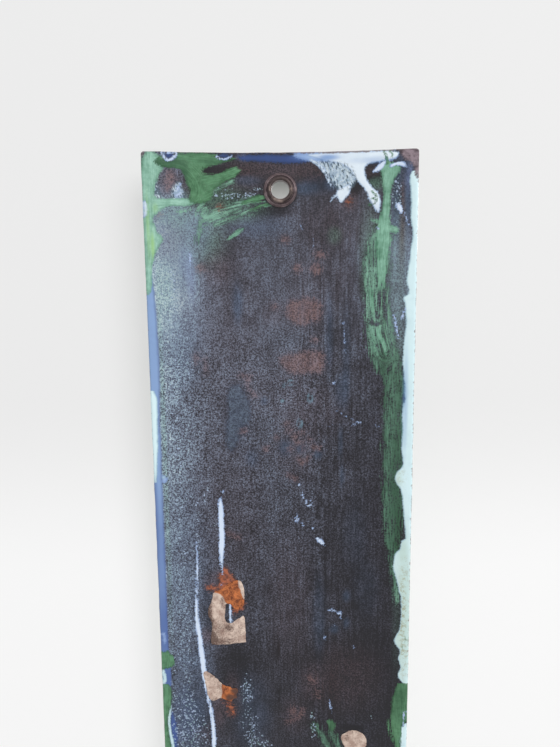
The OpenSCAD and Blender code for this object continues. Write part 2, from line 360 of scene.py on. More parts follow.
white_enamel = [
    ("run", [(37.3, 12.6, .7), (38.3, 11.3, .9), (40, 10.1, 1.2), (41.6, 11.2, .9), (42.6, 12.6, .7)]),
    ("run", [(37.6, 13.1, .8), (40, 13.2, 1.1), (42.2, 13.1, .8)]),
    ("run", [(17.6, 12, .5), (19, 11.2, .7), (20.5, 10.9, .8), (22, 11.3, .7), (23.2, 12.1, .5)]),
    ("run", [(48.9, -4.4, 1), (48.5, -6.8, 1.3), (48.9, -9.4, .8)]),
    ("run", [(-42.6, -6, 1.2), (-43.4, -7.4, 2.2), (-43.8, -8.8, 1)]),
    ("run", [(36.2, 2.4, .4), (36.8, 1, .9), (37.6, -.4, .5)]),
    ("run", [(36.2, -1, .6), (37.4, -1.8, 1), (38.4, -2.4, .4)]),
    ("run", [(-48.6, -207, .3), (-48.2, -211, .6), (-48.5, -214, .4)]),
    ("run", [(-44.9, -9, .3), (-46, -12, .4), (-46.6, -13.4, .2)]),
    ("run", [(-46, -43.6, .6), (-45.2, -45.4, .7), (-44.8, -47.6, .6)]),
    ("run", [(-20.5, -82.5, .2), (-25, -84.8, .22), (-30, -87.4, .2)]),
    ("run", [(-7, -88, .12), (-16, -88.3, .16), (-24, -88, .2)]),
    ("run", [(-33.9, 6, 1), (-35.2, 6.5, 1.8), (-36.4, 7.6, 2), (-37.6, 9.2, 1.4)]),
    ("run", [(-35.2, -14, .7), (-35.7, -14.6, .8)]),
    ("run", [(-40.2, 7.6, 1), (-41.4, 8.2, 1), (-43.2, 8.4, 1.6), (-44.6, 7.8, 1.6), (-45, 7, .8)]),
    ("run", [(33.6, -22.3, .6), (33.4, -24.5, .9), (33.6, -26.6, .3)]),
    ("run", [(-6.7, -11.4, .25), (-8.5, -14.5, .25)]),
    ("run", [(-12.2, -17.7, .2), (-11.7, -21.4, .15)]),
    ("run", [(-41.7, -45.5, .6), (-42.4, -48.2, .8), (-43.1, -52.3, .7), (-43.8, -54.5, .3)]),
    ("run", [(-23.1, -46, .2), (-24.2, -60.5, .3)]),
    ("run", [(25, -116.8, .9), (24.8, -119.5, 1.9), (24.6, -124, 2.2), (24.5, -132, 2.2),
             (24.8, -139, 2.1), (25, -143.5, 1.3), (24.9, -146, .6)]),
    ("run", [(24.9, -146.5, .6), (24.9, -149, .4)]),
    ("run", [(24.9, -152.4, .5), (25, -153.8, .5)]),
    ("run", [(22, -161.6, .5), (21.9, -164, .8), (21.8, -167, 1), (21.8, -169.8, .9)]),
    ("run", [(34.3, -134, .5), (34.3, -141, .8), (34.6, -147.6, .9), (34.9, -152, 1), (35.1, -157, 1.1),
             (35.3, -161, 1.4), (35.3, -167, 1.8), (34.9, -171.5, 2), (34.4, -174, 1.7),
             (34, -180.5, 2.1), (33.5, -185.5, 2.2), (33.2, -190.5, 2.1), (32.9, -195, 1.4),
             (32.5, -198.5, 1), (31.9, -201.5, 1.2), (31.3, -204.3, 1.3), (30.7, -208, 1.5),
             (30.3, -212.3, 1.5), (29.9, -217, 1.7), (29.9, -222, 1.8), (30.1, -229, 1.5),
             (30.6, -236, .7)]),
    ("dots", [(24, -114.3, .6, .5), (-6.3, -112.2, .5, .5), (-11.6, -130.1, .35, .35),
              (-36.2, -88.2, .65, .4), (-19.8, -71.6, .55, .55), (13.4, -218.4, .6, .6),
              (-28, -180.4, .35, .45), (39.4, -158, .4, .4)]),
    ("run", [(-25.2, -88, .35), (-27, -88.1, .45), (-28.6, -87.8, .2)]),
    ("run", [(-29.7, -86.4, .3), (-30.2, -87, .4), (-31.6, -87.6, .15)]),
    ("run", [(-7.4, -115, .3), (-8, -117.6, .5)]),
    ("run", [(-9, -118.6, .5), (-8.9, -119.6, .6), (-9.8, -120.8, .9), (-11, -120.9, .9),
             (-11.2, -119.6, .6), (-10.6, -118.6, .3)]),
    ("run", [(-5.1, -124, .3), (-5.2, -125.6, .7), (-5.9, -127.6, .7)]),
    ("run", [(-4.4, -125.4, .3), (-4.6, -127.2, .3)]),
    ("run", [(-6.4, -126, .3), (-7, -127.4, .5), (-7.8, -129, .4)]),
    ("run", [(-13.3, -134.2, 1.2), (-14.6, -135.4, 1.9), (-15.8, -136.8, 1.2), (-16.5, -137.4, .4)]),
    ("run", [(-17.8, -164.6, .9), (-19.2, -164.4, 1.3), (-20.6, -164.9, .6), (-22.4, -166.4, .7),
             (-23.2, -168.6, .4)]),
    ("run", [(-22.8, -167, .8), (-23.1, -165.2, .5)]),
    ("run", [(-20.1, -171, .8), (-21.2, -172.2, .5)]),
    ("run", [(-16.3, -176.6, 1.1), (-16.6, -177.6, .8), (-17.2, -176, .3)]),
    ("run", [(-18.3, -204.4, .3), (-18.6, -206.6, .8), (-19, -208.6, .7), (-19.1, -211, .3)]),
]

# Fields that break into specks and dashes: their inner distances are small, so only the grain's peaks show
specks = [
    ("run", [(26, -1.2, 2), (22, -2.2, 2.8), (15, -2, 2.6), (8, -1.6, 2)]),
    ("run", [(25, .8, 1), (20, .4, 1.2), (10, .6, .9), (6, .2, .5)]),
    ("run", [(30.5, -112.4, 1.6), (30.6, -118.6, 1.6)]),
    ("run", [(29.2, -112.6, 1.1), (29.2, -114.4, 1.1)]),
    ("run", [(34.1, -117, 1.2), (34.1, -126, 1.8), (34, -135, 1.6), (34, -144, 1.5), (34.3, -149, 1.8)]),
    ("run", [(28.6, -122, .9), (27.9, -125, 1.3), (26.4, -130, 1.3)]),
    ("run", [(42, -203, 1.6), (40.6, -210, 3.4), (41.4, -217, 4), (42, -226, 5)]),
    ("run", [(37.6, -208, 1), (36, -214, 2.4), (36.6, -220, 2.4), (37.4, -226, 3.4)]),
    ("patch", [(17.8, -196), (15, -196), (14.4, -203), (16.4, -207), (17.8, -203)]),
    ("run", [(15, -214, 1.4), (13.8, -218, 1.8), (14.2, -221, 1.6), (11, -224.5, 1.2)]),
    ("run", [(19.4, -218.6, .6), (18.6, -222.6, 1)]),
    ("run", [(-11.6, -210.6, .6), (-12.2, -217, 1.4)]),
    ("run", [(-35.4, -208.6, .7), (-35.6, -212.6, 1)]),
    ("run", [(27.4, -182.6, .4), (27.8, -184.6, .5)]),
    ("run", [(44.2, -34, .5), (43.6, -40, .9), (43.4, -46, .5)]),
    ("run", [(41.4, -35, .7), (41.2, -44, .7)]),
    ("patch", [(-17, 8.8), (-26.4, 7.4), (-26.4, 1), (-19, 2)]),
    ("run", [(-42, -12, .6), (-43, -20, .8)]),
    ("dots", [(39, -68.4, 1, 1), (27.6, -144, .7, .7), (28.6, -142, .5, .5)]),
    ("run", [(-41.8, 2.4, 1), (-42.2, -2, 1.8), (-42, -8, 1.4)]),
]
rust = [
    ("patch", [(42, 4.6), (40.6, 6.6), (38.4, 6.4), (38, 3), (39.4, .2), (41.8, -1.2), (42, 1.6)]),
    ("dots", [(22.1, -5.9, 1.9, 1.5), (29.9, -28, 1.7, 1.5), (44.2, -8.6, .7, .5),
              (-1.7, -17.7, 1.6, 1.3), (-14.2, -23.6, 1.9, 1.6), (-6.3, -28.2, 1.5, 1.6),
              (-13.1, -28.6, 2.2, 2.2), (-24.9, -4.6, 1.5, 1.4), (-12.6, -55, 1.5, 1.1),
              (32.4, -61.4, 1.1, 1.6), (2.6, -42.5, 1, 1), (15.3, -90.2, 1.6, 1.1),
              (6.5, -97.3, 1.1, 1.1), (49.2, 12.4, 1.2, .9), (22.4, -209.1, 1.8, 1.8),
              (-3.3, -210, 1.6, 1.8), (-48.9, -161, .4, 1.4), (-49, -167.6, .5, 1.2)]),
    ("patch", [(-1.4, -42.6), (-4, -39.6), (-6.4, -40.6), (-8.4, -38.8), (-11.4, -39.4), (-14.6, -40.6),
               (-15.4, -44), (-14.4, -48), (-11, -47.4), (-8.6, -50.4), (-4.6, -48.6), (-1.6, -46)]),
    ("patch", [(1.6, -62), (-2, -60.4), (-6, -60.6), (-9, -58.8), (-15.8, -59.4), (-16.4, -63),
               (-15.6, -68), (-10.4, -67.2), (-6, -68.4), (-1, -66.6)]),
    ("dots", [(-1.4, -87.4, .9, .9), (-2.6, -90.2, 1, .8), (-4.6, -92.6, 1, 1.2), (-7.2, -91.2, .8, .7),
              (-6.2, -95, 1.2, .9), (-8, -97.4, .8, .8), (-2.4, -97.8, 1.1, .9), (2.4, -93, .8, .8),
              (-10.4, -94, .7, .6)]),
    ("run", [(-6, -101.6, 1.4), (-7.6, -103.6, 1.8), (-10, -101, 1.2)]),
    ("run", [(-11.6, -96.6, 1), (-14.4, -97.6, 1.4)]),
    ("run", [(-1.9, -108, 1.4), (-4.8, -109.6, 1.8)]),
    ("run", [(-9.8, -194.4, 1.4), (-11.6, -196.6, 2)]),
    ("run", [(-13, -200.4, 1), (-13.6, -203, 1.4)]),
    ("run", [(-1, -214.6, 1.6), (-5.6, -213, 1.8), (-7.6, -208.6, 1)]),
    ("run", [(16.5, -68.6, 1.2), (11.5, -69, 1.4), (13.7, -71, .8), (12.8, -74, 1), (10.5, -76, 1.4)]),
    ("run", [(29, -62, .9), (29, -67, 1)]),
    ("run", [(23.4, -131, 1.2), (18, -133.4, 1.6)]),
]
glue = [
    ("patch", [(24.2, -145), (22.6, -145.6), (21.7, -148), (19.6, -150), (19, -152.6), (17.6, -155.9),
               (17, -159.5), (15.9, -162.6), (16.8, -163.9), (18.3, -164.6), (19.2, -166), (20.8, -165.7),
               (20.9, -163.2), (21.7, -161.7), (23.6, -161), (24.2, -158.6), (25.5, -156.4), (28.3, -156),
               (30.6, -155.4), (31.6, -153.2), (29.6, -152.9), (26.9, -153.6), (26.4, -154.3),
               (26.2, -152.6), (26.8, -150), (25.2, -147.2)]),
    ("run", [(26, -203, 1), (23, -205.4, 2), (22.4, -208.6, 2.6), (21.6, -211, 1.2)]),
    ("dots", [(22.1, -5.9, .9, .7), (-24.9, -4.6, 1, .9)]),
]
steel_bare = [
    ("patch", [(-42.8, 14), (-43.4, 11.6), (-45, 9.6), (-46.6, 9), (-47.8, 7.6), (-48.4, 5), (-48.8, 2.6),
               (-50.6, 2), (-50.6, 14)]),
]

# Soft stains and hazes, given as (x, z, half width, half height, strength)
STAINS = {
    "blue_haze": [
        (17.5, -83, 4.4, 11, .25), (16.5, -41, 1.6, 6, .7), (7, -78.6, 1.2, 1.2, .6),
        (12, -101, 2, 3, .4), (-44, 6, 3.4, 4, .7), (-46.4, -3, 1.2, 10, .9),
        (-22.6, -74.5, 2.2, 5.5, .35), (-.8, -97, 2, 3, .5), (-13.6, -100, 1.4, 1.6, .5),
        (-7, -97.6, 1.6, 1.4, .4), (-25, -158.5, 1.2, 2, .45), (-14, -168, 2, 14, .3),
        (38, -196, 7, 14, .5), (41, -214, 7, 12, .5), (16, -201, 2, 5, .2), (-18, -52, 1.2, 13, .4),
        (38, -28, 5, 8, .5), (38, -56, 6, 14, .4), (-9, .5, 3.6, 2, .55), (-25, -170, 1, 2, .4),
        (-20, -173, 1.6, 1.4, .5), (38, -150, 8, 30, .35), (12, 3.6, 4, 1.4, .35), (-19, 2, 2, 2, .5),
        (-42, -8, 1.6, 8, .6), (-28, -132, 4, 12, .12), (-33, -155, 4, 10, .12), (9, -13, 9, 3.5, .4),
        (14, -212, 6, 14, .3), (-14, 2, 6, 3, .2), (-22.4, -95, .7, 5, .45), (-23, -108.5, .6, 3.6, .45),
        (-24.4, -62, 1.2, 16, .3), (40, -12, 6, 5, .4),
    ],
    "rust_haze": [
        (-7.5, -44.5, 8, 6.2, .28), (-8, -63.5, 9, 5.4, .28), (-5, -95, 7, 12, .3), (40, -19, 5, 6, .6),
        (36, -34, 3, 12, .35), (-4, -211, 5, 7, .25), (-14, -32, 12, 10, .2), (8, 7.6, 9, 2.8, .5),
        (-9, 6.4, 8, 3.4, .55), (-33, 6, 2.4, 1.6, .4), (40.2, 3, 3, 4.4, .6), (-2, -160, 7, 22, .25),
        (27.6, -208, 2.4, 6, .6), (-11, -197, 4, 6, .3), (-25, -4.6, 2.6, 2.4, .7),
        (-44.3, -12, .9, 15, .85), (28, -150.5, 3.4, 2.6, .8), (32, -175, 2.4, 3, .8),
        (-24, -194, 12, 12, .3), (25, 1.6, 14, 3, .3), (34, -218, 3, 3, .4), (5, -75, 14, 8, .2),
        (-12, -82, 10, 8, .2), (22, -50, 14, 26, .22), (24, -120, 14, 30, .2), (22, -202, 3, 7, .5),
        (24, -28, 4, 5, .4), (46, -10, 2, 1.6, .5), (3.2, -45, 3, 4, .3), (39, -12, 5, 5, .35),
        (-22, -12, 14, 8, .25),
    ],
    "green_haze": [
        (30, -15, 7, 9, .5), (34, -27, 3, 9, .2), (39, -8, 6, 4, .4), (19, -8, 9, 3, .5),
        (24, -2, 9, 3, .4), (-19.8, -16.6, 2, 2.4, .3), (43, -36, 2.4, 9, .35), (-35, 1.6, 2.4, 1.6, .5),
        (-33, -24, 3, 14, .4), (-43, -100, 2, 30, .2), (-43, -40, 3, 24, .35), (45.4, -90, .8, 60, .4),
        (-45, -160, 1.6, 24, .12),
    ],
    "brushed": [
        (-20, -60, 14, 60, 1), (-14, -170, 16, 60, 1), (-38, -150, 6, 60, .6), (12, -190, 10, 30, .6),
    ],
    # Colour in the enamel itself: blue where it is thin, green and lime from the border, and darker parts
    "blue_tint": [
        (-17.4, 11.2, 3.4, .9, .8), (-8, 11.6, 3, 1, .3), (-46.6, -78, .8, 16, .4), (-30, 9.8, 5, .8, .2),
        (-35, 10, 3, 1, .25),
    ],
    "green_tint": [(-47, -165, 3.4, 26, .5), (-44.4, -109, 1.4, 3, .4), (-46.6, -138, 1.6, 4, .3)],
    "foxing": [
        (-47.4, -150, 1.4, 8, .5), (-47, -166, 1.6, 9, .7), (-48, -182, 1.2, 9, .6),
        (-45.6, -108, 1.6, 3, .3),
    ],
    "column_tint": [
        (-38, -6, 5, 16, .7), (-37.4, -34, 5, 22, .7), (-40, 10, 5, 3, .5), (47, -202, 4, 22, .8),
    ],
    "deep_green": [
        (40, 9.7, 5.4, 1.3, .7), (34.6, 6, 1.6, 3.4, .6), (25, 10.2, 4, 1.1, .5), (45, 9.6, 1.8, 1, .5),
        (21, 1.6, 3, 1.2, .4), (-42.6, -92, 5, 30, .6), (-43, -126, 3, 24, .75),
        (-44.4, -106, 1.4, 40, .5), (-38.4, -100, 1, 60, .6), (-37, -66, 5, 8, .45),
        (-45, -126, 1, 7, .7), (-17, -221, 8, 7, .6), (-46.5, -203, 3, 9, .4),
    ],
    "lime": [(46.8, -20, .6, 4, .8), (48.2, -13, .5, 9, .5), (45.4, -6.4, .8, 1.4, .4)],
    "deep_blue": [
        (48, -140, 3, 18, .45), (48, -172, 3, 14, .8), (48, -192, 3, 6, .9), (45.8, -213, 2, 9, .6),
        (49.4, -120, .6, 20, .5),
    ],
    "wear": [
        (-24, 13.4, 17, 1.4, .95), (4, 13.4, 14, 1.2, .4), (40, 13.4, 8, 1, .25),
        (-49.8, -110, .8, 120, .45), (49.8, -200, .6, 90, .3), (49.8, -60, .6, 60, .25),
    ],
    # How thickly pale specks are strewn over the ground
    "grit": [
        (41, -214, 5, 13, .68), (37, -220, 4, 10, .6), (41, -182, 5, 20, .35), (40, -150, 6, 18, .25),
        (42, -100, 3, 34, .25), (38, -68, 5, 20, .25), (42, -40, 3, 14, .35), (15, -217, 3.4, 7, .7),
        (11, -225, 4, 3, .6), (-42.2, -2, 1.6, 7, .8), (-11.6, -216, 1.2, 5, .7), (16, -201, 2, 6, .9),
    ],
    "lavender_haze": [
        (31, -15, 4, 6, .3), (33.6, -30, 1.6, 8, .5), (36, -24, 1.6, 6, .3), (-46.6, 4, 1.2, 4, .5),
        (41, -212, 4, 10, .15), (13.6, 11.6, 1.8, .9, .7), (-34, 10.6, 7, 1, .3),
    ],
    "dark": [
        (20, 6.6, 8, 1.6, .7), (28, 6.6, 2, 1.4, .7), (-33.4, 4.6, 3.4, 3, .6), (22, -45, 10, 20, .1),
        (2.5, -182, .45, 2.6, 1), (2.6, -200.6, .45, .8, .9), (2.6, -204.6, .45, .8, .9),
        (-19.6, -198, 1.6, 8, .4), (30, 3, 6, 5, .3), (24, -4.6, 7, 1.6, .5), (-44.6, -137, 1.6, 3, .4),
        (-28, -216.6, 4, 1, .6), (2, -2, 7, 6, .25), (3, -7.4, 7, 1.6, .4), (24, -1.8, 9, 2, .5),
        (-14, 3, 7, 4, .3), (20, -189, 6, 8, .3), (22, -215, 8, 8, .06), (24, -24, 7, 9, .25),
        (17.6, -81, 4, 9, .28), (20, -93, 3, 6, .2), (-45, -128, 1, 6, .6), (31, -163, 1.6, 12, .3),
        (-27.4, .8, 2, 3, .6), (-42.4, -2, 1.4, 6, .35), (-44.3, -12, .8, 13, .35), (41, -207, 7, 8, .3),
        (37, -217, 5, 9, .4), (-16, -14, 7, 8, .3), (-34.8, -13.4, .8, .7, .8),
        (-14.4, 3.4, 2.4, 2.6, .45),
    ],
}

# Brush strokes, given as (x, z, width), which the bristles' furrows and the ridges of green enamel follow
STROKES = [
    [(46, 11.4, 2.6), (38, 12, 3), (28, 11.7, 2.8), (17, 11.2, 1.8)],
    [(43, 8.8, 2.6), (37, 9.6, 3), (32.6, 7, 4), (29.6, 3, 4.6), (29, -1, 4.4), (31, -4.2, 2.6)],
    [(30, 3.4, 3.4), (22, 4.6, 3), (18, 6, 2.8), (14.6, 7.2, 2)],
    [(28, -1.4, 3), (22, 1.2, 2.2), (17, 3, 1.4)],
    [(46.4, -4.4, 2.6), (38, -4, 2.2), (29, -4, 1.8)],
    [(47, 13, 5), (47.2, 4, 5), (47.6, -8, 4), (47.8, -20, 3), (48.4, -36, 2)],
    [(5.4, -2.4, 2.6), (10, -3.3, 2.8), (16, -5, 2.6), (27, -8.4, 3)],
    [(1, -4.8, 2), (9, -6.6, 2.4), (17.4, -9.5, 2.4), (27, -13, 3)],
    [(13.4, -13.4, 1.4), (20, -17.8, 1.4), (27, -25, 2)],
    [(-38.4, 13, 2.2), (-39.4, 8, 4), (-39.6, 4, 4), (-38.4, 0, 3.4), (-37.8, -6, 4), (-37.4, -17, 4.4),
     (-37, -30, 4), (-36, -50, 5), (-39, -60, 5)],
    [(-37.6, -11.4, 1.6), (-43.4, -13.6, 2)],
    [(-32, -1.6, 2), (-38, .6, 2)],
]

# The enamel layers from the lowest to the top: relief in mm, and the width of its rounded shoulder
LAYERS = {
    "bloomed": (bloomed, 0, 1),
    "rust": (rust, -0.02, 0.6),
    "rings": (rings, 0.02, 0.5),
    "green_brush": (green_brush, 0.03, 0.8),
    "blue_line": (blue_line, 0.2, 1.2),
    "navy_enamel": (navy_enamel, 0.06, 0.8),
    "lavender_enamel": (lavender_enamel, 0.06, 0.8),
    "web": (web, 0.03, 0.8),
    "white_pour": (white_pour, 0.2, 0.7),
    "pale_enamel": (pale_enamel, 0.24, 0.9),
    "mint_enamel": (mint_enamel, 0.08, 0.5),
    "green_enamel": (green_enamel, 0.12, 0.6),
    "white_enamel": (white_enamel, 0.16, 0.4),
    "specks": (specks, 0, 1),
    "glue": (glue, 0.06, 0.5),
    "steel_bare": (steel_bare, -0.06, 0.6),
}


def stain(at, blots):
    """Soft amount, from 0 to 1, of a stain made of oval blots."""
    clear = np.ones(len(at))
    for x, z, half_wide, half_high, amount in blots:
        away = ((at[:, 0] - x) / half_wide) ** 2 + ((at[:, 1] - z) / half_high) ** 2
        clear *= 1 - amount * np.exp(-0.5 * away**1.6)
    return 1 - clear


def bloom(at):
    """How pale the dark ground is drawn: most along the left edge, partly from thin overspray that drifted
    there and partly as a painted reflection, and least low down, as the paleness high up is partly a painted
    sheen from above. Each pair of lists gives places, in mm down or across the sheet, and the amounts there."""
    x, low = at[:, 0], -at[:, 1]
    # Paler high up than low down, partly as painted sheen
    middle = np.interp(low, [-13, -4, 10, 50, 80, 110, 140, 170, 190, 290],
                       [.25, .28, .38, .41, .40, .36, .33, .30, .26, .25])
    # Paler towards the left edge, partly from overspray and partly as painted reflection, and less so at the
    # right
    shift = np.interp(low, [0, 20, 40, 54, 75, 95, 150, 200], [5, 4, 3.5, 0, -2, -1, 2, 4])
    left = np.interp(x + shift, [25, 31, 37, 42.5, 46], [0, .13, .38, .58, .62])
    left *= np.interp(low, [0, 10, 26, 40, 52, 64, 76, 88, 100, 140],
                      [1, 1.35, 1.55, 1.5, 1.1, 1, .8, .78, .95, 1])
    right = np.interp(-x, [0, 11, 18, 26, 33], [0, .08, .17, .23, .28])
    right *= np.interp(low, [0, 10, 60, 140, 200], [0, .2, 1, 1, .6])
    frost = np.interp(-x, [38, 41, 46], [0, 1, 1]) * np.interp(low, [10, 22, 50, 64], [.1, .5, .4, 0])
    patchy = 0.05 * ripple(at, 17, 51) + 0.04 * ripple(at, 6, 52)
    return middle * (1 + left - right + frost) * (1 + patchy)


def crackling(at):
    """How strongly the ground coat's crackle shows: less near the top and at the right, more at the left."""
    low = -at[:, 1]
    down = np.interp(low, [-13, 20, 50, 66, 130, 200], [.62, .62, .76, 1.16, 1.16, .86])
    left = np.interp(low, [-13, 20, 60, 130, 200], [.2, .2, .08, .05, .35])
    left *= np.interp(at[:, 0], [26, 36], [0, 1])
    return down * np.interp(at[:, 0], [-24, -10], [.82, 1]) * (1 + left)


def comb(at):
    """For each point, millimetres across and along the brush stroke that lies over it, and how deep it is in
    that stroke. Where there is none, the sheet's own X and Z serve."""
    across, along = at.T.copy()
    # A stroke combs the points this far past its edge too, and its furrows start this far from another's
    reach_past, apart = 1.5, 20
    best = np.full(len(at), -reach_past)
    for k, stroke in enumerate(STROKES):
        line = rounded(stroke, False)
        gone = 0.0
        for a, b in zip(line, line[1:]):
            gap, share = gap_to(at, a, b)
            depth = (a[2] + (b[2] - a[2]) * share) / 2 - gap
            way = b[:2] - a[:2]
            length = math.hypot(*way)
            side = np.sign((at[:, 0] - a[0]) * way[1] - (at[:, 1] - a[1]) * way[0])
            here = depth > best
            across[here] = (side * gap)[here] + apart * k
            along[here] = (gone + share * length)[here]
            best[here] = depth[here]
            gone += length
    return across, along, best


def from_edge(at):
    """Distance from the sheet's outline."""
    from_ends = np.minimum(sheet_high[2] - at[:, 1], at[:, 1] - sheet_low[2])
    return np.minimum(sheet_high[0] - abs(at[:, 0]), from_ends)


def from_eyelets(at):
    """Distance from the nearer eyelet's centre."""
    return np.min([np.hypot(at[:, 0], at[:, 1] - z) for z in eyelet_heights], 0)


def front_chips(at, edge_gap, eyelet_gap):
    """Where the front's enamel has flaked off: here and there at the rim, and round the eyelets' crowns."""
    rough = 0.9 * ripple(at, 3.2, 41) + 0.5 * ripple(at, 1.3, 42)
    here_and_there = ripple(at, 16, 43) > 0.1
    at_rim = rim_flaked - edge_gap + 1.1 * rough * here_and_there
    return np.maximum(at_rim, crown_flaked - eyelet_gap + 1.3 * rough)


def painted_washer_shade(at, eyelet_gap):
    """Painted shade in the corner round each washer, darkest below it."""
    nearer = np.where(at[:, 1] > sum(eyelet_heights) / 2, *eyelet_heights)
    below = np.clip(0.5 - 0.7 * (at[:, 1] - nearer) / washer_r, 0.15, 1)
    # The painted shade is darkest this far from an eyelet's middle, and fades over this width
    thickest, wide = washer_r + 0.1, 0.45
    return below * np.exp(-((eyelet_gap - thickest) / wide) ** 2)


# Meshes

def over_sheet(at, off):
    """Points on the bent sheet, given as (x, z) on its back and their distance off the steel's middle."""
    turn = np.arcsin(at[:, 0] / (bend_r - cad_half_t))
    reach = bend_r - off
    return np.stack([reach * np.sin(turn), bend_r - reach * np.cos(turn), at[:, 1]], 1)


def lines(stops):
    """Grid lines between the first and the last stop, where stops are (place, step there)."""
    place, step = np.array(stops, float).T
    fine = np.linspace(place[0], place[-1], grid_places)
    steps = np.interp((fine[1:] + fine[:-1]) / 2, place, step)
    count = np.concatenate([[0], np.cumsum(np.diff(fine) / steps)])
    return np.interp(np.linspace(0, count[-1], round(count[-1]) + 1), count, fine)


def nearest_line(grid, place):
    """The number of the grid line nearest to a place."""
    return np.argmin(abs(grid - place))


def with_lines_at(grid, places):
    """Moves the nearest grid line onto each place."""
    grid = grid.copy()
    for place in places:
        grid[nearest_line(grid, place)] = place
    return grid


def between(before, after):
    """Four-sided faces from one closed ring of points to the next."""
    count = len(before)
    return [(before[k], before[(k + 1) % count], after[(k + 1) % count], after[k]) for k in range(count)]


def along_ring(ring):
    """The way outward from each point of a closed ring, of length one."""
    tangent = np.roll(ring, -1, 0) - np.roll(ring, 1, 0)
    return np.stack([tangent[:, 1], -tangent[:, 0]], 1) / np.hypot(*tangent.T)[:, None]


def link(piece):
    """Puts a piece in the scene."""
    bpy.context.scene.collection.objects.link(piece)
    return piece


def make_mesh(name, points, faces, materials, material_of=None):
    """A smooth piece from points in millimetres."""
    mesh = bpy.data.meshes.new(name)
    mesh.from_pydata((np.asarray(points) * MM).tolist(), [], faces)
    for material in materials:
        mesh.materials.append(material)
    if material_of is not None:
        mesh.polygons.foreach_set("material_index", material_of)
    mesh.polygons.foreach_set("use_smooth", [True] * len(mesh.polygons))
    mesh.update()
    return link(bpy.data.objects.new(name, mesh))


def give(piece, name, values):
    """Keeps one number for each point, for the materials to read."""
    layer = piece.data.attributes.new(name, "FLOAT", "POINT")
    layer.data.foreach_set("value", np.asarray(values, np.float32))


def sheet_skin():
    """Points (x, z) and four-sided faces of one side of the sheet, with a round hole at each eyelet, and the
    rings of points at its rim and round its holes."""
    edge = half_chord * (bend_r - cad_half_t) / bend_r
    top, bottom = sheet_high[2] - cad_half_t, sheet_low[2] + cad_half_t
    across = lines([(-edge, .4), (-42, .55), (-36, .85), (36, .9), (42, .55), (edge, .4)])
    up = lines([(bottom, .5), (bottom + 3, 1.15), (-60, 1), (-40, .75), (-16, .6), (8, .5), (top, .25)])
    patch_ends = [z + side * patch_half for z in eyelet_heights for side in (-1, 1)]
    across = with_lines_at(across, [-patch_half, patch_half])
    up = with_lines_at(up, [z for z in patch_ends if bottom < z < top])
    points = np.stack(np.meshgrid(across, up), -1).reshape(-1, 2)
    # The outermost points draw in near the top and bottom, which rounds the corners
    end = np.minimum(top - points[:, 1], points[:, 1] - bottom)
    reach = np.sqrt(np.maximum(corner_r**2 - (corner_r - end) ** 2, 0))
    draw = np.where(end < corner_r, corner_r - reach, 0)
    outer = np.clip((abs(points[:, 0]) - (edge - drawn_in)) / drawn_in, 0, 1)
    points[:, 0] -= np.sign(points[:, 0]) * outer * draw
    grid = np.arange(len(points)).reshape(len(up), len(across))
    kept = np.ones((len(up) - 1, len(across) - 1), bool)
    faces, holes = [], []
    left, right = nearest_line(across, -patch_half), nearest_line(across, patch_half)
    for z in eyelet_heights:
        low, high = nearest_line(up, z - patch_half), nearest_line(up, z + patch_half)
        kept[low:high, left:right] = False
        ring = [*grid[low, left:right], *grid[low:high, right]]
        ring += [*grid[high, right:left:-1], *grid[high:low:-1, left]]
        away = points[ring] - (0, z)
        circle = hole_r * away / np.hypot(away[:, 0], away[:, 1])[:, None]
        for step in range(1, hole_rings + 1):
            share = step / hole_rings
            inner = list(range(len(points), len(points) + len(ring)))
            points = np.vstack([points, (0, z) + away * (1 - share) + circle * share])
            faces += between(ring, inner)
            ring = inner
        holes.append(ring)
    for j, i in np.argwhere(kept):
        faces.append((grid[j, i], grid[j, i + 1], grid[j + 1, i + 1], grid[j + 1, i]))
    rim = [*grid[0, :-1], *grid[:-1, -1], *grid[-1, :0:-1], *grid[:0:-1, 0]]
    # Points inside the patches are dropped, and the rest are numbered anew
    used = np.unique(np.array(faces))
    new = np.full(len(points), -1)
    new[used] = np.arange(len(used))
    return points[used], new[np.array(faces)], new[rim], [new[ring] for ring in holes]


def enamel_relief(at, numbers, comb_numbers, edge_gap):
    """How far the back's enamel stands off the steel: orange peel and sag, layers and brush ridges."""
    relief = 0.02 * ripple(at, 1.1, 3) + 0.03 * ripple(at, 6, 4) + 0.012 * ripple(at, 0.7, 5)
    uneven = 1 + 0.25 * ripple(at, 2.2, 6)
    for name, (_, thick, shoulder) in LAYERS.items():
        relief += thick * (1 - np.exp(-np.maximum(numbers[name], 0) / shoulder)) * uneven
    across, along, depth = comb_numbers
    painted = np.clip(np.maximum(numbers["mint_enamel"], numbers["green_enamel"]) / 0.6, 0, 1)
    bristles = ripple(np.stack([across, along * 0.15], 1), 0.9, 71)
    relief += 0.1 * painted * (0.5 * np.sqrt(np.clip(depth / 1.6, 0, 1)) + 0.18 * bristles)
    # The long edges stand highest, so less fits over them
    return np.minimum(relief, np.clip(0.1 + 0.09 * edge_gap, 0.24, 0.5))


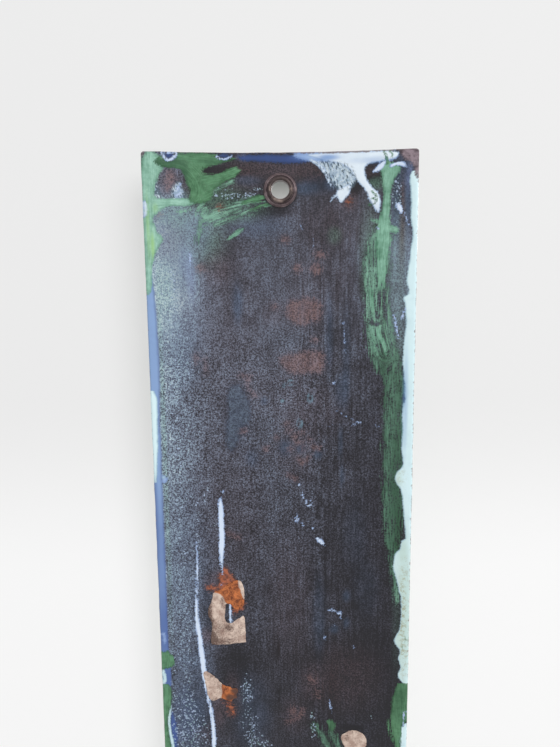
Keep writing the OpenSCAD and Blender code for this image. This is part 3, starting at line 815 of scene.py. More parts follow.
def make_sheet(materials):
    """The enamelled sheet: both faces, the round rim and the walls of the two holes, as one closed mesh. Its
    materials are those of the back, the front and the worn rim."""
    at, faces, rim, holes = sheet_skin()
    n = len(at)
    edge_gap, eyelet_gap = from_edge(at), from_eyelets(at)
    wobble = 0.14 * ripple(at, 1.6, 11) + 0.08 * ripple(at, 0.8, 12)
    numbers = {name: field(at, shapes) + wobble for name, (shapes, _, _) in LAYERS.items()}
    numbers.update({name: stain(at, blots) for name, blots in STAINS.items()})
    comb_numbers = comb(at)
    chips = front_chips(at, edge_gap, eyelet_gap)

    # Full thickness under the washers, and less past them
    seat = ease(np.clip((eyelet_gap - washer_r - seat_past) / seat_fade, 0, 1))
    level = cad_half_t * (1 - seat) + half_t * seat
    back = level + enamel_relief(at, numbers, comb_numbers, edge_gap) * seat
    front = level + seat * (0.012 * ripple(at, 9, 21) + 0.006 * ripple(at, 2.5, 22))
    front -= flake_deep * np.clip(chips / flake_slope, 0, 1) * seat
    points = [over_sheet(at, back), over_sheet(at, -front)]
    all_faces = faces[:, ::-1].tolist() + (faces + n).tolist()
    material_of = [0] * len(faces) + [1] * len(faces)

    # The rim, a half circle that joins the two faces. The back's enamel comes over its first half
    inner = at[rim]
    outward = along_ring(inner)
    stands_out = rim_out + (0.05 * ripple(inner, 2.3, 31) + 0.07 * ripple(inner, 7, 32))
    rings, rim_at = [rim.tolist()], []
    for step in range(1, rim_steps):
        turn = math.pi * step / rim_steps
        off = np.where(math.cos(turn) > 0, back[rim], front[rim]) * math.cos(turn)
        rim_at.append(inner + outward * (stands_out * math.sin(turn))[:, None])
        points.append(over_sheet(rim_at[-1], off))
        start = 2 * n + len(rim) * (step - 1)
        rings.append(list(range(start, start + len(rim))))
    rings.append((rim + n).tolist())
    for step, (before, after) in enumerate(zip(rings, rings[1:])):
        all_faces += between(before, after)
        material_of += [0 if step < rim_steps // 2 else 2] * len(rim)
    for hole in holes:
        all_faces += between((hole + n).tolist(), hole.tolist())
        material_of += [2] * len(hole)
    piece = make_mesh("enamelled_sheet", np.vstack(points), all_faces, materials, material_of)

    numbers.update(bloom=bloom(at), crackling=crackling(at), grime=painted_washer_shade(at, eyelet_gap), chips=chips)
    numbers.update(comb_across=comb_numbers[0], comb_along=comb_numbers[1])
    for name, values in numbers.items():
        give(piece, name, np.concatenate([values, values, np.tile(values[rim], len(rim_at))]))
    give(piece, "edge_gap", from_edge(np.vstack([at, at, *rim_at])))
    return piece


# Materials

TIMES, PLUS, MINUS = ({"operation": name} for name in ("MULTIPLY", "ADD", "SUBTRACT"))
TIMES_PLUS, SMALLER, LARGER = ({"operation": name} for name in ("MULTIPLY_ADD", "MINIMUM", "MAXIMUM"))
SMOOTH = {"interpolation_type": "SMOOTHSTEP"}
RGB = {"data_type": "RGBA"}


def linear(code):
    """An sRGB hex colour as linear red, green, blue and alpha."""
    parts = [int(code[k:k + 2], 16) / 255 for k in (1, 3, 5)]
    return (*[c / 12.92 if c <= 0.04045 else ((c + 0.055) / 1.055) ** 2.4 for c in parts], 1.0)


def join(socket, value):
    """Links a socket to another node's output, or sets it to a value."""
    if isinstance(value, bpy.types.NodeSocket):
        socket.id_data.links.new(value, socket)
    else:
        socket.default_value = value


def add(tree, kind, settings=None, *values, out=0, **named):
    """Adds a node with its settings, joins its sockets in order or by name, and returns one output."""
    node = tree.nodes.new("ShaderNode" + kind)
    for key, value in (settings or {}).items():
        setattr(node, key, value)
    for socket, value in zip([socket for socket in node.inputs if socket.enabled], values):
        join(socket, value)
    for name, value in named.items():
        join(node.inputs[name], value)
    outputs = [socket for socket in node.outputs if socket.enabled] or [None]
    return node.outputs[out] if isinstance(out, str) else outputs[out]


def new_material(name, sockets):
    """A new material, the function that adds a node to it, and its principled shader with sockets set."""
    material = bpy.data.materials.new(name)
    material.use_nodes = True
    material.node_tree.nodes.clear()
    node = functools.partial(add, material.node_tree)
    shader = node("BsdfPrincipled")
    node("OutputMaterial", None, shader)
    dress(shader.node, sockets)
    return material, node, shader.node


def dress(shader, sockets):
    """Joins the shader's sockets by name."""
    for name, value in sockets.items():
        join(shader.inputs[name], value)


# The colours over the ground coat, from the lowest to the top. Each has: its colour where thin and where
# thick, how many mm in it is thickest, the grain that frays its edge and by how many mm, how many mm its edge
# fades over, its most cover, its roughness, and how its tone varies
COATS = {
    "bloomed": ("#3a4457", "#5f6d80", 1, "crackle", 4.5, 0.9, 0.7, 0.5, "mottled"),
    "rust": ("#745b5c", "#94736e", 1.5, "crackle", 6, 1, 0.46, 0.85, "mottled"),
    "rings": ("#5d7688", "#86a0ac", 1, "crackle", 0.8, 0.3, 0.85, 0.4, "even"),
    "green_brush": ("#2b473b", "#84b49e", 0.5, "bristled", 11, 0.9, 0.88, 0.4, "dry_brushed"),
    "blue_line": ("#6a80aa", "#89a5d0", 1.2, "crackle", 0.6, 0.4, 1, 0.2, "even"),
    "navy_enamel": ("#2b3c62", "#374d82", 1, "crackle", 2.4, 0.5, 0.95, 0.25, "even"),
    "lavender_enamel": ("#7f98c8", "#b2cbee", 2, "crackle", 1.4, 0.4, 0.95, 0.22, "even"),
    "white_pour": ("#9db6d6", "#e2eef8", 0.8, "crackle", 1.5, 0.35, 1, 0.18, "even"),
    "pale_enamel": ("#a2c0ce", "#dbf4f9", 0.8, "crackle", 0.9, 0.3, 1, 0.18, "even"),
    "mint_enamel": ("#5f9078", "#a2d0bd", 1.2, "bristled", 3.4, 0.4, 0.95, 0.22, "thinly_brushed"),
    "green_enamel": ("#2d5838", "#659872", 1.2, "bristled", 3.6, 0.35, 0.96, 0.22, "brushed_on"),
    "glue": ("#4c322d", "#bb6b47", 1, "crackle", 6.5, 0.8, 0.84, 0.7, "mottled"),
    "white_enamel": ("#8aa2cc", "#d9e7fa", 0.6, "crackle", 1.7, 0.25, 1, 0.2, "even"),
    "steel_bare": ("#4c3f45", "#94848c", 1, "crackle", 3.4, 0.6, 0.95, 0.5, "mottled"),
}

# How a tone varies: the share of its thickness it keeps, its start, and how much of each grain is added
TONES = {
    "even": (1, 0, {"broad": 0.8}),
    "mottled": (0.6, 0, {"blotchy": 4}),
    "dry_brushed": (0.45, 0.16, {"furrows": 2.42, "blotchy": 1.2, "broad": 1}),
    "thinly_brushed": (0.45, 0.16, {"furrows": 1.32, "blotchy": 1.2, "broad": 1}),
    "brushed_on": (0.45, 0.16, {"furrows": 1.54, "blotchy": 1.2, "broad": 1}),
}

# Stains inside a coat: their amount, and the colour they give where the coat is thin and where it is thick
COAT_STAINS = {
    "green_brush": ("deep_green", "#2b5038", "#2b5038"),
    "green_enamel": ("deep_green", "#2b5038", "#2b5038"),
    "mint_enamel": ("column_tint", "#48795f", "#8bbda5"),
    "blue_line": ("deep_blue", "#4a629e", "#4a629e"),
    "navy_enamel": ("deep_blue", "#4a629e", "#4a629e"),
}

# Hazes over the ground coat: their colour, and their cover on the grain's crests and in its hollows
HAZES = {
    "rust_haze": ("#7d6163", 0.5, 0.06),
    "blue_haze": ("#4a6280", 0.7, 0.42),
    "green_haze": ("#7bab94", 0.75, 0.1875),
    "lavender_haze": ("#8f9ccc", 0.8, 0.4),
}

# Tints over the coats: their colour, and the coat whose reach they keep to
TINTS = {
    "blue_tint": ("#6a92cc", None),
    "green_tint": ("#b2cab6", "pale_enamel"),
    "foxing": ("#9c9468", "pale_enamel"),
    "lime": ("#9cca84", "mint_enamel"),
}

# From bare dark ground to ground that is grey-blue with overspray and painted sheen
GROUND = {
    0.0: "#08080b", 0.22: "#201f25", 0.336: "#3e3e48", 0.42: "#555967", 0.595: "#778397", 0.77: "#94aaba",
    1.0: "#c4d4da",
}


def back_grains(node, here):
    """The enamel's grains, from 0 to 1, and the same grains about zero."""
    place = node("TexCoord", out="Object")
    long_way = node("Mapping", None, place, Scale=(1, 1, 0.06))
    slant = node("Mapping", None, place, Rotation=(0, -0.45, 0))
    slant = node("Mapping", None, slant, Scale=(1, 1, 0.4))
    # Waves of the bristles' furrows in a millimetre, across a stroke and along it
    waves_across, waves_along = 1.8, 0.16
    combed = node("CombineXYZ", None, node("Math", TIMES, here["comb_across"], waves_across * MM),
                  node("Math", TIMES, here["comb_along"], waves_along * MM))
    # Each has: where it is read, millimetres from wave to wave, detail and roughness. The real crackle is
    # about 0.2 mm from vein to vein, and is drawn at two or three times that, so that it shows
    waves = {
        "crackle": (place, 0.64, 1.6, 0.55),
        "fine": (place, 0.38, 1.0, 0.5),
        "streaks": (long_way, 0.8, 2.5, 0.6),
        "broad": (place, 7, 3.0, 0.6),
        "blotchy": (place, 1.7, 4.0, 0.65),
        "furrows": (combed, 1, 2.5, 0.6),
        "holes": (slant, 0.62, 2.0, 0.6),
    }
    grain = {}
    for name, (where, size, detail, rough) in waves.items():
        scale = MM_IN_METRE / size
        grain[name] = node("TexNoise", None, where, Scale=scale, Detail=detail, Roughness=rough)
    part = node("Math", TIMES, grain["crackle"], 0.4)
    grain["bristled"] = node("Math", TIMES_PLUS, grain["furrows"], 0.6, part)
    both = node("Math", TIMES_PLUS, grain["fine"], 0.6, node("Math", TIMES, grain["crackle"], 0.6))
    grain["grainy"] = node("MapRange", SMOOTH, both, 0.46, 0.72)
    centred = ("crackle", "fine", "streaks", "broad", "blotchy", "furrows", "bristled")
    about_zero = {name: node("Math", MINUS, grain[name], 0.5) for name in centred}
    return place, grain, about_zero


def ground_coat(node, here, grain, about_zero):
    """The colour of the dark ground with its crackle, brush streaks and hazes, and paleness that is partly
    painted sheen.
    """
    shade = node("Math", PLUS, node("MapRange", SMOOTH, grain["crackle"], 0.36, 0.64, -0.23, 0.23),
                 node("MapRange", SMOOTH, grain["fine"], 0.3, 0.7, -0.23, 0.23))
    shade = node("Math", TIMES_PLUS, shade, here["crackling"], 1.0)
    streaked = node("Math", TIMES_PLUS, here["brushed"], 0.7, 0.4)
    for factor in (
        node("MapRange", SMOOTH, grain["broad"], 0.3, 0.7, 0.9, 1.1),
        node("Math", TIMES_PLUS, about_zero["streaks"], streaked, 1.0),
        node("Math", TIMES_PLUS, here["dark"], -0.75, 1.0),
        here["bloom"],
    ):
        shade = node("Math", TIMES, shade, factor)
    base = node("ValToRGB", None, shade)
    stops = base.node.color_ramp.elements
    for spot in list(GROUND)[1:-1]:
        stops.new(spot)
    for stop, (spot, colour) in zip(stops, GROUND.items()):
        stop.position = spot
        stop.color = linear(colour)
    uneven = node("MapRange", SMOOTH, grain["broad"], 0.3, 0.6, 0.6, 1.0)
    for name, (colour, on_crests, in_hollows) in HAZES.items():
        amount = node("MapRange", SMOOTH, grain["grainy"], 0.0, 1.0, in_hollows, on_crests)
        amount = node("Math", TIMES, node("Math", TIMES, here[name], amount), uneven)
        base = node("Mix", RGB, amount, base, linear(colour))
    return base


def coats_over(node, here, grain, about_zero, base):
    """The colour, roughness and height of the enamel once the coats are on it."""
    rough = node("MapRange", SMOOTH, grain["broad"], 0.3, 0.7, 0.42, 0.62)
    height = node("Math", TIMES, grain["crackle"], 0.05)
    breaks = node("MapRange", SMOOTH, here["web"], -0.6, 1.4)
    holes = node("MapRange", SMOOTH, node("Math", TIMES_PLUS, breaks, 0.1, grain["holes"]), 0.46, 0.56)
    speckled = node("MapRange", SMOOTH, grain["grainy"], 0.0, 1.0, 0.4, 1.2)
    for name, (thin, thick, thickest, frayed_by, fray, soft, most, dull, toned) in COATS.items():
        amount = here[name]
        if name == "green_brush":
            # A dry brush never lays it on thick
            amount = node("Math", SMALLER, amount, 0.5)
        cover = node("Math", TIMES_PLUS, about_zero[frayed_by], fray, amount)
        cover = node("MapRange", SMOOTH, cover, -soft, soft, 0.0, most)
        if name in ("rust", "bloomed"):
            cover = node("Math", TIMES, cover, speckled)
        keeps, start, grains = TONES[toned]
        tone = node("Math", TIMES_PLUS, node("MapRange", SMOOTH, amount, -0.2, thickest), keeps, start)
        for grain_name, share in grains.items():
            tone = node("Math", TIMES_PLUS, about_zero[grain_name], share, tone)
        tone = node("Math", SMALLER, node("Math", LARGER, tone, 0.0), 1.0)
        colour = node("Mix", RGB, tone, linear(thin), linear(thick))
        if name in COAT_STAINS:
            stained_by, thin, thick = COAT_STAINS[name]
            stained = node("Mix", RGB, tone, linear(thin), linear(thick))
            colour = node("Mix", RGB, here[stained_by], colour, stained)
        base = node("Mix", RGB, cover, base, colour)
        rough = node("Mix", None, cover, rough, dull)
        height = node("Math", TIMES_PLUS, cover, -0.02 if name == "rust" else 0.05, height)
        if name == "lavender_enamel":
            # The poured coat breaks into a web over the ground
            webbed = node("Math", TIMES, holes, 0.92)
            webbed = node("Math", TIMES, webbed, node("MapRange", SMOOTH, here["web"], -0.8, 0.4))
            pale = node("MapRange", SMOOTH, grain["blotchy"], 0.35, 0.65)
            pale = node("Mix", RGB, pale, linear("#93a9c0"), linear("#d3e2ea"))
            base = node("Mix", RGB, webbed, base, pale)
        if name == "white_pour":
            # The web's holes bite into its lower edge
            bitten = node("Math", TIMES, node("MapRange", SMOOTH, here["web"], -1.4, 0.2),
                          node("MapRange", SMOOTH, amount, 1.8, 0.0))
            bitten = node("Math", TIMES, bitten, node("MapRange", SMOOTH, holes, 0.9, 0.2, 0.0, 0.8))
            base = node("Mix", RGB, bitten, base, linear("#4d5f6c"))
    return base, rough, height


def tints_over(node, here, grain, base):
    """The colour once tints and foxing are in the enamel."""
    spotty = node("Math", TIMES_PLUS, grain["fine"], 0.4, grain["blotchy"])
    spotty = node("MapRange", SMOOTH, spotty, 0.66, 0.86)
    for name, (colour, only_on) in TINTS.items():
        amount = here[name]
        if only_on:
            amount = node("Math", TIMES, amount, node("MapRange", SMOOTH, here[only_on], 0.0, 0.6))
        if name == "foxing":
            amount = node("Math", TIMES, amount, spotty)
        base = node("Mix", RGB, amount, base, linear(colour))
    return base


def dirt_and_shade_over(node, here, grain, about_zero, place, painted, base):
    """The colour once pale specks, the painted shade round the eyelets and the worn rim are on it."""
    # Each cell may hold one speck
    cell_size = 0.85
    cells = node("TexVoronoi", None, place, Scale=MM_IN_METRE / cell_size)
    strewn = node("MapRange", SMOOTH, here["specks"], -0.4, 1.0, 0.0, 0.9)
    strewn = node("Math", LARGER, here["grit"], strewn)
    strewn = node("Math", TIMES, strewn, node("MapRange", SMOOTH, grain["blotchy"], 0.36, 0.56, 0.5, 1.15))
    strewn = node("Math", TIMES, strewn, node("MapRange", SMOOTH, painted, 0.0, -0.4))
    chosen = node("MapRange", SMOOTH, node("Math", PLUS, cells.node.outputs["Color"], strewn), 0.98, 1.06)
    spot = node("Math", TIMES_PLUS, about_zero["crackle"], -1.2, cells)
    spot = node("MapRange", SMOOTH, spot, 0.52, 0.26, 0.0, 0.7)
    pale = node("MapRange", SMOOTH, grain["blotchy"], 0.4, 0.6)
    pale = node("Mix", RGB, pale, linear("#94b0b4"), linear("#b2c4e2"))
    base = node("Mix", RGB, node("Math", TIMES, chosen, spot), base, pale)
    # Painted shade in the corner round each washer, darkest below it
    base = node("Mix", RGB, node("Math", TIMES, here["grime"], 0.9), base, linear("#0d0c0f"))
    # The rim is knocked and worn in places
    rim = node("Math", TIMES_PLUS, about_zero["blotchy"], 2.4, here["wear"])
    rim = node("Math", MINUS, rim, here["edge_gap"])
    rim = node("Math", TIMES_PLUS, about_zero["fine"], 1.2, rim)
    rim = node("MapRange", SMOOTH, rim, -0.15, 0.25, 0.0, 0.85)
    steel = node("MapRange", SMOOTH, grain["fine"], 0.35, 0.65)
    steel = node("Mix", RGB, steel, linear("#4c3634"), linear("#877876"))
    return node("Mix", RGB, rim, base, steel)


def back_enamel():
    """Vitreous enamel, dipped and fired: a dark ground coat with fine crackle, and colours that ran over from
    the front's stencilled coats. It looks like dull dark glass, with glossy beads of colour, brushed smears
    and rust."""
    material, node, shader = new_material("vitreous_enamel_back", {"IOR": 1.5, "Specular IOR Level": 0.25})
    names = [*LAYERS, *STAINS, "bloom", "crackling", "comb_across", "comb_along", "grime", "edge_gap"]
    here = {name: node("Attribute", {"attribute_name": name}, out="Fac") for name in names}
    place, grain, about_zero = back_grains(node, here)
    base = ground_coat(node, here, grain, about_zero)
    base, rough, height = coats_over(node, here, grain, about_zero, base)
    base = tints_over(node, here, grain, base)
    painted = node("Math", LARGER, here["mint_enamel"], here["green_enamel"])
    base = dirt_and_shade_over(node, here, grain, about_zero, place, painted, base)
    on_paint = node("MapRange", SMOOTH, painted, 0.0, 0.8, 0.0, 0.12)
    height = node("Math", TIMES_PLUS, grain["furrows"], on_paint, height)
    normal = node("Bump", None, Strength=0.6, Distance=MM, Height=height)
    dress(shader, {"Base Color": base, "Roughness": rough, "Normal": normal})
    return material


def front_enamel():
    """Vitreous enamel, stencilled and fired: a white field with a green border and a thin blue line, all flat
    and glossy as glass, with flakes down to rusty steel at the rim and round the eyelets."""
    material, node, shader = new_material("vitreous_enamel_front", {"IOR": 1.5})
    place = node("TexCoord", out="Object")
    broad, fine, rusty = (
        node("TexNoise", None, place, Scale=MM_IN_METRE / size, Detail=3.0) for size in (14, 1.4, 4))
    gap, chips = (node("Attribute", {"attribute_name": name}, out="Fac") for name in ("edge_gap", "chips"))
    base = node("Mix", RGB, broad, linear("#e3e6df"), linear("#eeefe9"))
    # Each band runs from one distance to another inside the rim, and its edges fade over twice the blur
    blur = 0.06
    for inner, outer, colour in ((-1, 6.0, "#2f6b43"), (7.4, 8.4, "#33508f")):
        enter = node("MapRange", None, gap, inner - blur, inner + blur)
        leave = node("MapRange", None, gap, outer - blur, outer + blur, 1.0, 0.0)
        base = node("Mix", RGB, node("Math", TIMES, enter, leave), base, linear(colour))
    shift = node("Math", TIMES_PLUS, fine, 0.8, chips)
    flake = node("MapRange", None, shift, 0.36, 0.5)
    halo = node("MapRange", None, shift, -0.5, 0.4, 0.0, 0.4)
    steel = node("Mix", RGB, rusty, linear("#3a2622"), linear("#8a5238"))
    base = node("Mix", RGB, halo, base, linear("#a98a63"))
    base = node("Mix", RGB, flake, base, steel)
    rough = node("MapRange", None, flake, 0.0, 1.0, 0.16, 0.85)
    normal = node("Bump", None, Strength=0.4, Distance=MM * 0.1, Height=broad)
    dress(shader, {"Base Color": base, "Roughness": rough, "Normal": normal})
    return material


def worn_edge():
    """The cut edge of sheet steel, thinly enamelled, then knocked bare: brown oxide, mauve and grey."""
    material, node, shader = new_material("worn_steel_edge", {"Roughness": 0.6})
    place = node("TexCoord", out="Object")
    fine, spots, broad = (
        node("TexNoise", None, place, Scale=MM_IN_METRE / size, Detail=3.0) for size in (1.5, 5, 18))
    base = node("Mix", RGB, fine, linear("#3d2f33"), linear("#8d7c82"))
    base = node("Mix", RGB, node("MapRange", None, spots, 0.52, 0.62), base, linear("#7a4a3a"))
    base = node("Mix", RGB, node("MapRange", None, broad, 0.54, 0.62, 0.0, 0.6), base, linear("#8fa89c"))
    normal = node("Bump", None, Strength=0.5, Distance=MM * 0.1, Height=fine)
    dress(shader, {"Base Color": base, "Normal": normal})
    return material


def old_brass(name, dark, mid, bright, seed):
    """Brass eyelet stock, drawn and curled, then oxidised for decades: brown-mauve patina that is thinner in
    broad patches, so they give dull warm glints. The seed moves its spots."""
    material, node, shader = new_material(name, {"Metallic": 0.6})
    place = node("Mapping", None, node("TexCoord", out="Object"), Location=(seed, 0, 0))
    fine, broad = (
        node("TexNoise", None, place, Scale=MM_IN_METRE / size, Detail=3.0) for size in (0.8, 3.5))
    base = node("Mix", RGB, fine, linear(dark), linear(mid))
    base = node("Mix", RGB, node("MapRange", None, broad, 0.5, 0.7), base, linear(bright))
    rough = node("MapRange", None, fine, 0.0, 1.0, 0.62, 0.36)
    normal = node("Bump", None, Strength=0.5, Distance=MM * 0.08, Height=fine)
    dress(shader, {"Base Color": base, "Roughness": rough, "Normal": normal})
    return material


def label_paper():
    """Uncoated label paper, yellowed and torn: matt and fibrous, dirty in patches, with brown glue that has
    soaked through."""
    material, node, shader = new_material("aged_label_paper", {"Roughness": 0.9, "Specular IOR Level": 0.3})
    place = node("TexCoord", out="Object")
    fibres, blots = (node("TexNoise", None, place, Scale=MM_IN_METRE / size, Detail=4.0, Roughness=0.6)
                     for size in (0.5, 2.4))
    soak, dirt = (node("Attribute", {"attribute_name": name}, out="Fac") for name in ("soak", "dirt"))
    base = node("Mix", RGB, node("MapRange", None, blots, 0.36, 0.64), linear("#b0968a"), linear("#e0ccbe"))
    base = node("Mix", RGB, node("MapRange", None, fibres, 0.54, 0.66, 0.0, 0.5), base, linear("#8c6f60"))
    wet = node("MapRange", SMOOTH, node("Math", TIMES_PLUS, blots, 1.6, soak), 0.6, 1.0)
    glued = node("MapRange", None, node("Math", PLUS, fibres, blots), 0.8, 1.2)
    base = node("Mix", RGB, wet, base, node("Mix", RGB, glued, linear("#643526"), linear("#d07c4a")))
    dirty = node("MapRange", None, node("Math", TIMES_PLUS, fibres, 1.6, dirt), 0.95, 1.6, 0.0, 0.9)
    base = node("Mix", RGB, dirty, base, linear("#54403a"))
    normal = node("Bump", None, Strength=0.6, Distance=MM * 0.08, Height=fibres)
    dress(shader, {"Base Color": base, "Normal": normal})
    return material


# Label scraps: the outline, where glue has soaked through, and dirt given as stains are
SCRAPS = {
    "upper_label_scrap": {
        "outline": [(28.9, -156), (26, -155.4), (22, -152.4), (19.4, -151.2), (16.6, -152.2),
                    (16.1, -157.7), (16, -161.8), (17.6, -163.6), (20, -164), (21, -162.4), (22.4, -161),
                    (23.7, -161.4), (24, -164), (24.2, -167.4), (23.4, -169.4), (21.6, -170),
                    (19.6, -168.4), (17.6, -167.4), (16.3, -166.6), (16, -171), (15.9, -176),
                    (15.8, -178.3), (15.8, -178.4), (18, -178.5), (23.7, -178.9), (28.3, -178.8),
                    (30.2, -178.4), (29.6, -173.6), (29.2, -168.6), (30.4, -166.6), (31, -164.1),
                    (29.9, -161.4), (28.7, -158.6)],
        "soak": [("patch", [(30, -154), (19, -149), (17.8, -156), (16.8, -159), (15, -161), (15, -166),
                            (21.8, -166), (22, -161.4), (24, -160.6), (24.4, -158), (26, -156.4),
                            (29, -156)])],
        "dirt": [(30.4, -176, 3, 3, 1), (27, -177.6, 6, 1.4, .6), (26, -171, 3, 3, .4),
                 (30.6, -163, 1.2, 6, .8), (30.2, -169, 1.4, 3, .8), (22.5, -171.6, 1.4, 1.2, .6),
                 (24.6, -160, 1.2, 3, .4), (20, -174, 5, 3, .2)],
    },
    "middle_label_scrap": {
        "outline": [(33.5, -191.2), (32.8, -189.9), (31, -190.7), (28.7, -193), (26.5, -195.5),
                    (24.8, -197.4), (23.2, -197.5), (21.6, -198.9), (20.2, -198.5), (19.2, -200.2),
                    (20.3, -201.6), (19.8, -203.2), (21.4, -203.2), (22.4, -204.8), (23.8, -204),
                    (25.5, -203), (26.9, -202.4), (28.3, -203.3), (29.9, -203.9), (31, -203),
                    (32, -200.4), (32.5, -196.8), (33, -193.6)],
        "soak": [("patch", [(26.4, -196), (26, -200), (26.6, -204), (22, -207), (16, -203), (17, -197),
                            (23, -195)])],
        "dirt": [(21, -199.6, 1.4, 1, .9), (22.6, -202.6, 1.8, 1.2, .9), (19.8, -202, 1, 2, .9),
                 (30, -192, 2, 1.6, .4), (27, -197, 1.6, 2, .3), (30, -203.6, 2, 1, .4)],
    },
    "lower_label_scrap": {
        "outline": [(-23.2, -220), (-25.2, -219.2), (-26.6, -218.1), (-28.2, -217.8), (-30.8, -218.3),
                    (-32.8, -219.8), (-33.8, -222.2), (-33.4, -224.6), (-32.2, -226.8), (-30, -228.2),
                    (-27.4, -228), (-25.2, -226.6), (-24, -224.6), (-23.2, -222.6)],
        "soak": [],
        "dirt": [(-25.6, -221.4, .8, 1.6, .45), (-29, -218.6, 3, .6, .3)],
    },
}

# Thickness of the paper away from its torn edges, and of the glue under it
paper_t = 0.16
glue_t = 0.02

# Millimetres between the points of a tear and between those inside the paper
tear_step = 0.22
paper_step = 0.4


def torn_outline(outline, rng, seed):
    """An outline with short fibres that stand out along it."""
    loop = rounded(outline, True)
    fine = []
    for a, b in zip(loop, np.roll(loop, -1, 0)):
        cuts = max(2, int(np.hypot(*(b - a)) / tear_step))
        fine += [a + (b - a) * k / cuts for k in range(cuts)]
    fine = np.array(fine)
    tear = 0.13 * ripple(fine, 1.5, seed + 5) + 0.1 * ripple(fine, 0.6, seed + 6)
    return fine + along_ring(fine) * tear[:, None] + rng.normal(0, 0.03, (len(fine), 2))


def make_scrap(name, plan, material, seed):
    """Torn paper that follows the sheet's hollow, a little lifted where it has come unstuck."""
    rng = np.random.default_rng(seed)
    torn = torn_outline(plan["outline"], rng, seed)
    columns, rows = (np.arange(low, high, paper_step) for low, high in zip(torn.min(0), torn.max(0)))
    grid = np.stack(np.meshgrid(columns, rows), -1).reshape(-1, 2)
    grid = grid + rng.uniform(-0.08, 0.08, grid.shape)
    grid = grid[patch(grid, plan["outline"]) > 0.25]
    ring = [(k, (k + 1) % len(torn)) for k in range(len(torn))]
    made = delaunay_2d_cdt([Vector(p) for p in np.vstack([torn, grid])], ring, [], 1, 1e-6)
    at = np.array([tuple(v) for v in made[0]])
    n = len(at)
    inside = patch(at, plan["outline"])
    unstuck = np.clip(ripple(at, 7, seed + 2) - 0.35, 0, 1) * np.exp(-inside / 0.8)
    lift = 0.03 * (1 + ripple(at, 5, seed + 1)) + 0.16 * unstuck
    thin = 0.3 + 0.7 * (1 - np.exp(-np.maximum(inside, 0) / 0.25))
    wrinkle = 0.018 * ripple(at, 0.9, seed + 3) + 0.02 * ripple(at, 2.4, seed + 4)
    upper = half_t + glue_t + lift + paper_t * thin + wrinkle
    lower = half_t + 0.9 * lift
    faces, sides = [], []
    for a, b, c in made[2]:
        turn = (at[b][0] - at[a][0]) * (at[c][1] - at[a][1]) - (at[b][1] - at[a][1]) * (at[c][0] - at[a][0])
        b, c = (c, b) if turn > 0 else (b, c)
        faces += [(a, b, c), (a + n, c + n, b + n)]
        sides += [(a, b), (b, c), (c, a)]
    shared = set(sides)
    faces += [(b, a, a + n, b + n) for a, b in sides if (b, a) not in shared]
    points = np.vstack([over_sheet(at, upper), over_sheet(at, lower)])
    piece = make_mesh(name.replace("scrap", "paper"), points, faces, [material])
    give(piece, "soak", np.tile(np.clip(field(at, plan["soak"]), -1, 1), 2))
    give(piece, "dirt", np.tile(stain(at, plan["dirt"]), 2))
    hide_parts(name)
    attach(piece, "root")


sheet = make_sheet([back_enamel(), front_enamel(), worn_edge()])
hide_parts("sign_plate")
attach(sheet, "root")
paper = label_paper()
for seed, (name, plan) in zip((60, 70, 80), SCRAPS.items()):
    make_scrap(name, plan, paper, seed)
brass = {
    "eyelet": old_brass("oxidised_eyelet_brass", "#2a2323", "#574a49", "#85756f", 0),
    "washer": old_brass("oxidised_washer_brass", "#3a3032", "#68595c", "#857679", 1),
}
for name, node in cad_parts.items():
    kind = name.split("_")[-1]
    if kind in brass:
        node.data.materials.clear()
        node.data.materials.append(brass[kind])
        node.data.polygons.foreach_set("use_smooth", [True] * len(node.data.polygons))


# Stage: a pale wall that the sign's front faces, and a pale floor. A camera sees each from one side only

wall_y = -13
floor_z = sheet_low[2] - 14
wall_reach = 1500
floor_reach = 8000

# Their own glow near the sign, and what is added to it far off, between these two distances
own_glow, far_glow = 0.55, 0.5
white_from, white_to = 500, 1800

# Through an eyelet's hole the camera sees a part of the wall that is this much higher. There the wall gets
# painted
# shade: it has no glow of its own out to the first of these distances, and has its own glow from the second
seen_higher = 2.4
dark_to, bright_from = 4.2, 6

# A painted light at the bottom of the upper hole, and the heights over which it fades
low_glow = 0.3
low_from, low_to = -1, 5


def make_stage(name, corners, top, bottom, from_z, to_z):
    """A flat piece of the stage, whose colour goes from bottom to top between two heights."""
    material, node, shader = new_material(name, {"Roughness": 1.0, "Specular IOR Level": 0.0})
    place = node("TexCoord", out="Object")
    height = node("SeparateXYZ", None, place, out="Z")
    share = node("MapRange", SMOOTH, height, from_z * MM, to_z * MM)
    colour = node("Mix", RGB, share, linear(bottom), linear(top))
    # Part of its brightness is its own, so that its shadow is as faint as a lit studio wall's, but not close
    # behind the sign's eyelets, where painted shade darkens it and a painted light brightens the bottom of
    # the upper hole
    behind = [(0, wall_y * MM, (z + seen_higher) * MM) for z in eyelet_heights]
    upper, lower = (node("VectorMath", {"operation": "DISTANCE"}, place, spot) for spot in behind)
    nearest = node("Math", SMALLER, upper, lower)
    glow = node("MapRange", None, nearest, dark_to * MM, bright_from * MM, 0.0, own_glow)
    inside = node("MapRange", None, nearest, dark_to * MM, bright_from * MM, 1.0, 0.0)
    low_light = node("MapRange", None, height, low_from * MM, low_to * MM, low_glow, 0.0)
    glow = node("Math", TIMES_PLUS, inside, low_light, glow)
    # Far away it is as white as the sky, so that no horizon shows
    white = node("MapRange", None, nearest, white_from * MM, white_to * MM, 0.0, far_glow)
    glow = node("Math", PLUS, glow, white)
    lit = node("Mix", RGB, own_glow, colour, (0, 0, 0, 1))
    dress(shader, {"Base Color": lit, "Emission Color": colour, "Emission Strength": glow})
    seen = node("LightPath", out="Is Camera Ray")
    hidden_side = node("NewGeometry", out="Backfacing")
    shown = node("Math", {"operation": "SUBTRACT", "use_clamp": True}, seen, hidden_side)
    both = node("MixShader", None, shown, node("BsdfTransparent"), shader.outputs[0])
    join(material.node_tree.nodes["Material Output"].inputs["Surface"], both)
    make_mesh(name, corners, [(0, 1, 2, 3)], [material])


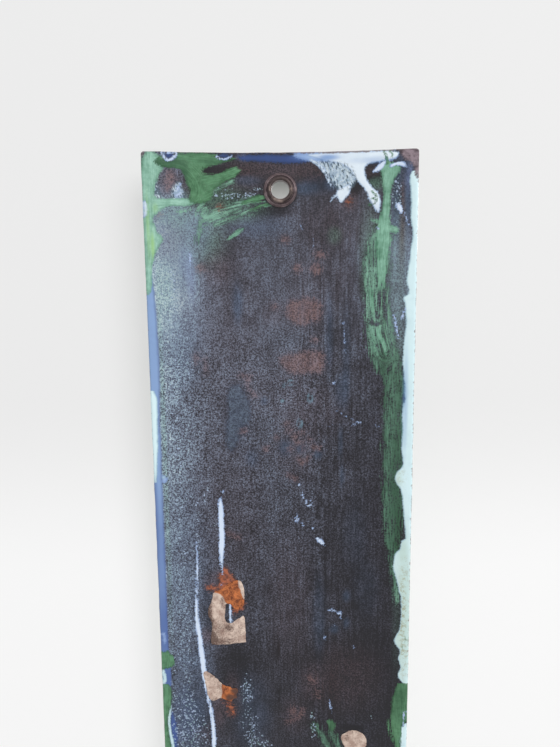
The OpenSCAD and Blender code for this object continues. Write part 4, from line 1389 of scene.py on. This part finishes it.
wall = [(wall_reach, wall_y, floor_z), (-wall_reach, wall_y, floor_z),
        (-wall_reach, wall_y, wall_reach), (wall_reach, wall_y, wall_reach)]
floor = [(x * floor_reach, y * floor_reach, floor_z) for x, y in ((-1, -1), (1, -1), (1, 1), (-1, 1))]
make_stage("pale_wall", wall, "#eeeeee", "#fbfbfb", -160, -76)
make_stage("pale_floor", floor, "#f2f2f2", "#f2f2f2", -1, 1)

# Sky: plain white to the camera and in reflections, and this bright as light
ambient = 0.62
world = bpy.data.worlds.new("studio")
bpy.context.scene.world = world
world.use_nodes = True
world.node_tree.nodes.clear()
sky_node = functools.partial(add, world.node_tree)
plain = sky_node("LightPath", out="Is Camera Ray")
for ray in ("Is Glossy Ray", "Is Transmission Ray"):
    plain = sky_node("Math", LARGER, plain, sky_node("LightPath", out=ray))
strength = sky_node("MapRange", None, plain, 0.0, 1.0, ambient, 1.0)
sky_node("OutputWorld", None, sky_node("Background", None, (1, 1, 1, 1), strength))


# The height that the lamps face
aim_z = -120


def make_lamp(name, place, size, watts):
    """A soft square lamp that faces the middle of what the camera sees of the sign."""
    lamp = bpy.data.lights.new(name, "AREA")
    lamp.size = size * MM
    lamp.energy = watts
    piece = link(bpy.data.objects.new(name, lamp))
    piece.location = Vector(place) * MM
    aim = Vector((0, 0, aim_z)) * MM - piece.location
    piece.rotation_euler = aim.to_track_quat("-Z", "Y").to_euler()


make_lamp("key", (-800, 1250, 700), 900, 14)
make_lamp("front_key", (-800, -1250, 500), 900, 14)

# The camera stands where the photograph was taken from: its place, and how it is turned
camera_place, turned, pitched_down, rolled = (0.632, 213.667, -39.226), 180.044, 7.657, -0.592
focal_px, long_side_px, sensor_mm = 561, 747, 36
lens = bpy.data.cameras.new("camera")
lens.sensor_width = sensor_mm
lens.lens = sensor_mm * focal_px / long_side_px
lens.clip_start = 0.01
camera = link(bpy.data.objects.new("camera", lens))
camera.matrix_world = (
    Matrix.Translation(Vector(camera_place) * MM)
    @ Matrix.Rotation(math.radians(turned), 4, "Z")
    @ Matrix.Rotation(math.radians(90 - pitched_down), 4, "X")
    @ Matrix.Rotation(math.radians(rolled), 4, "Z")
)
bpy.context.scene.camera = camera
bpy.context.scene.view_settings.view_transform = "Standard"
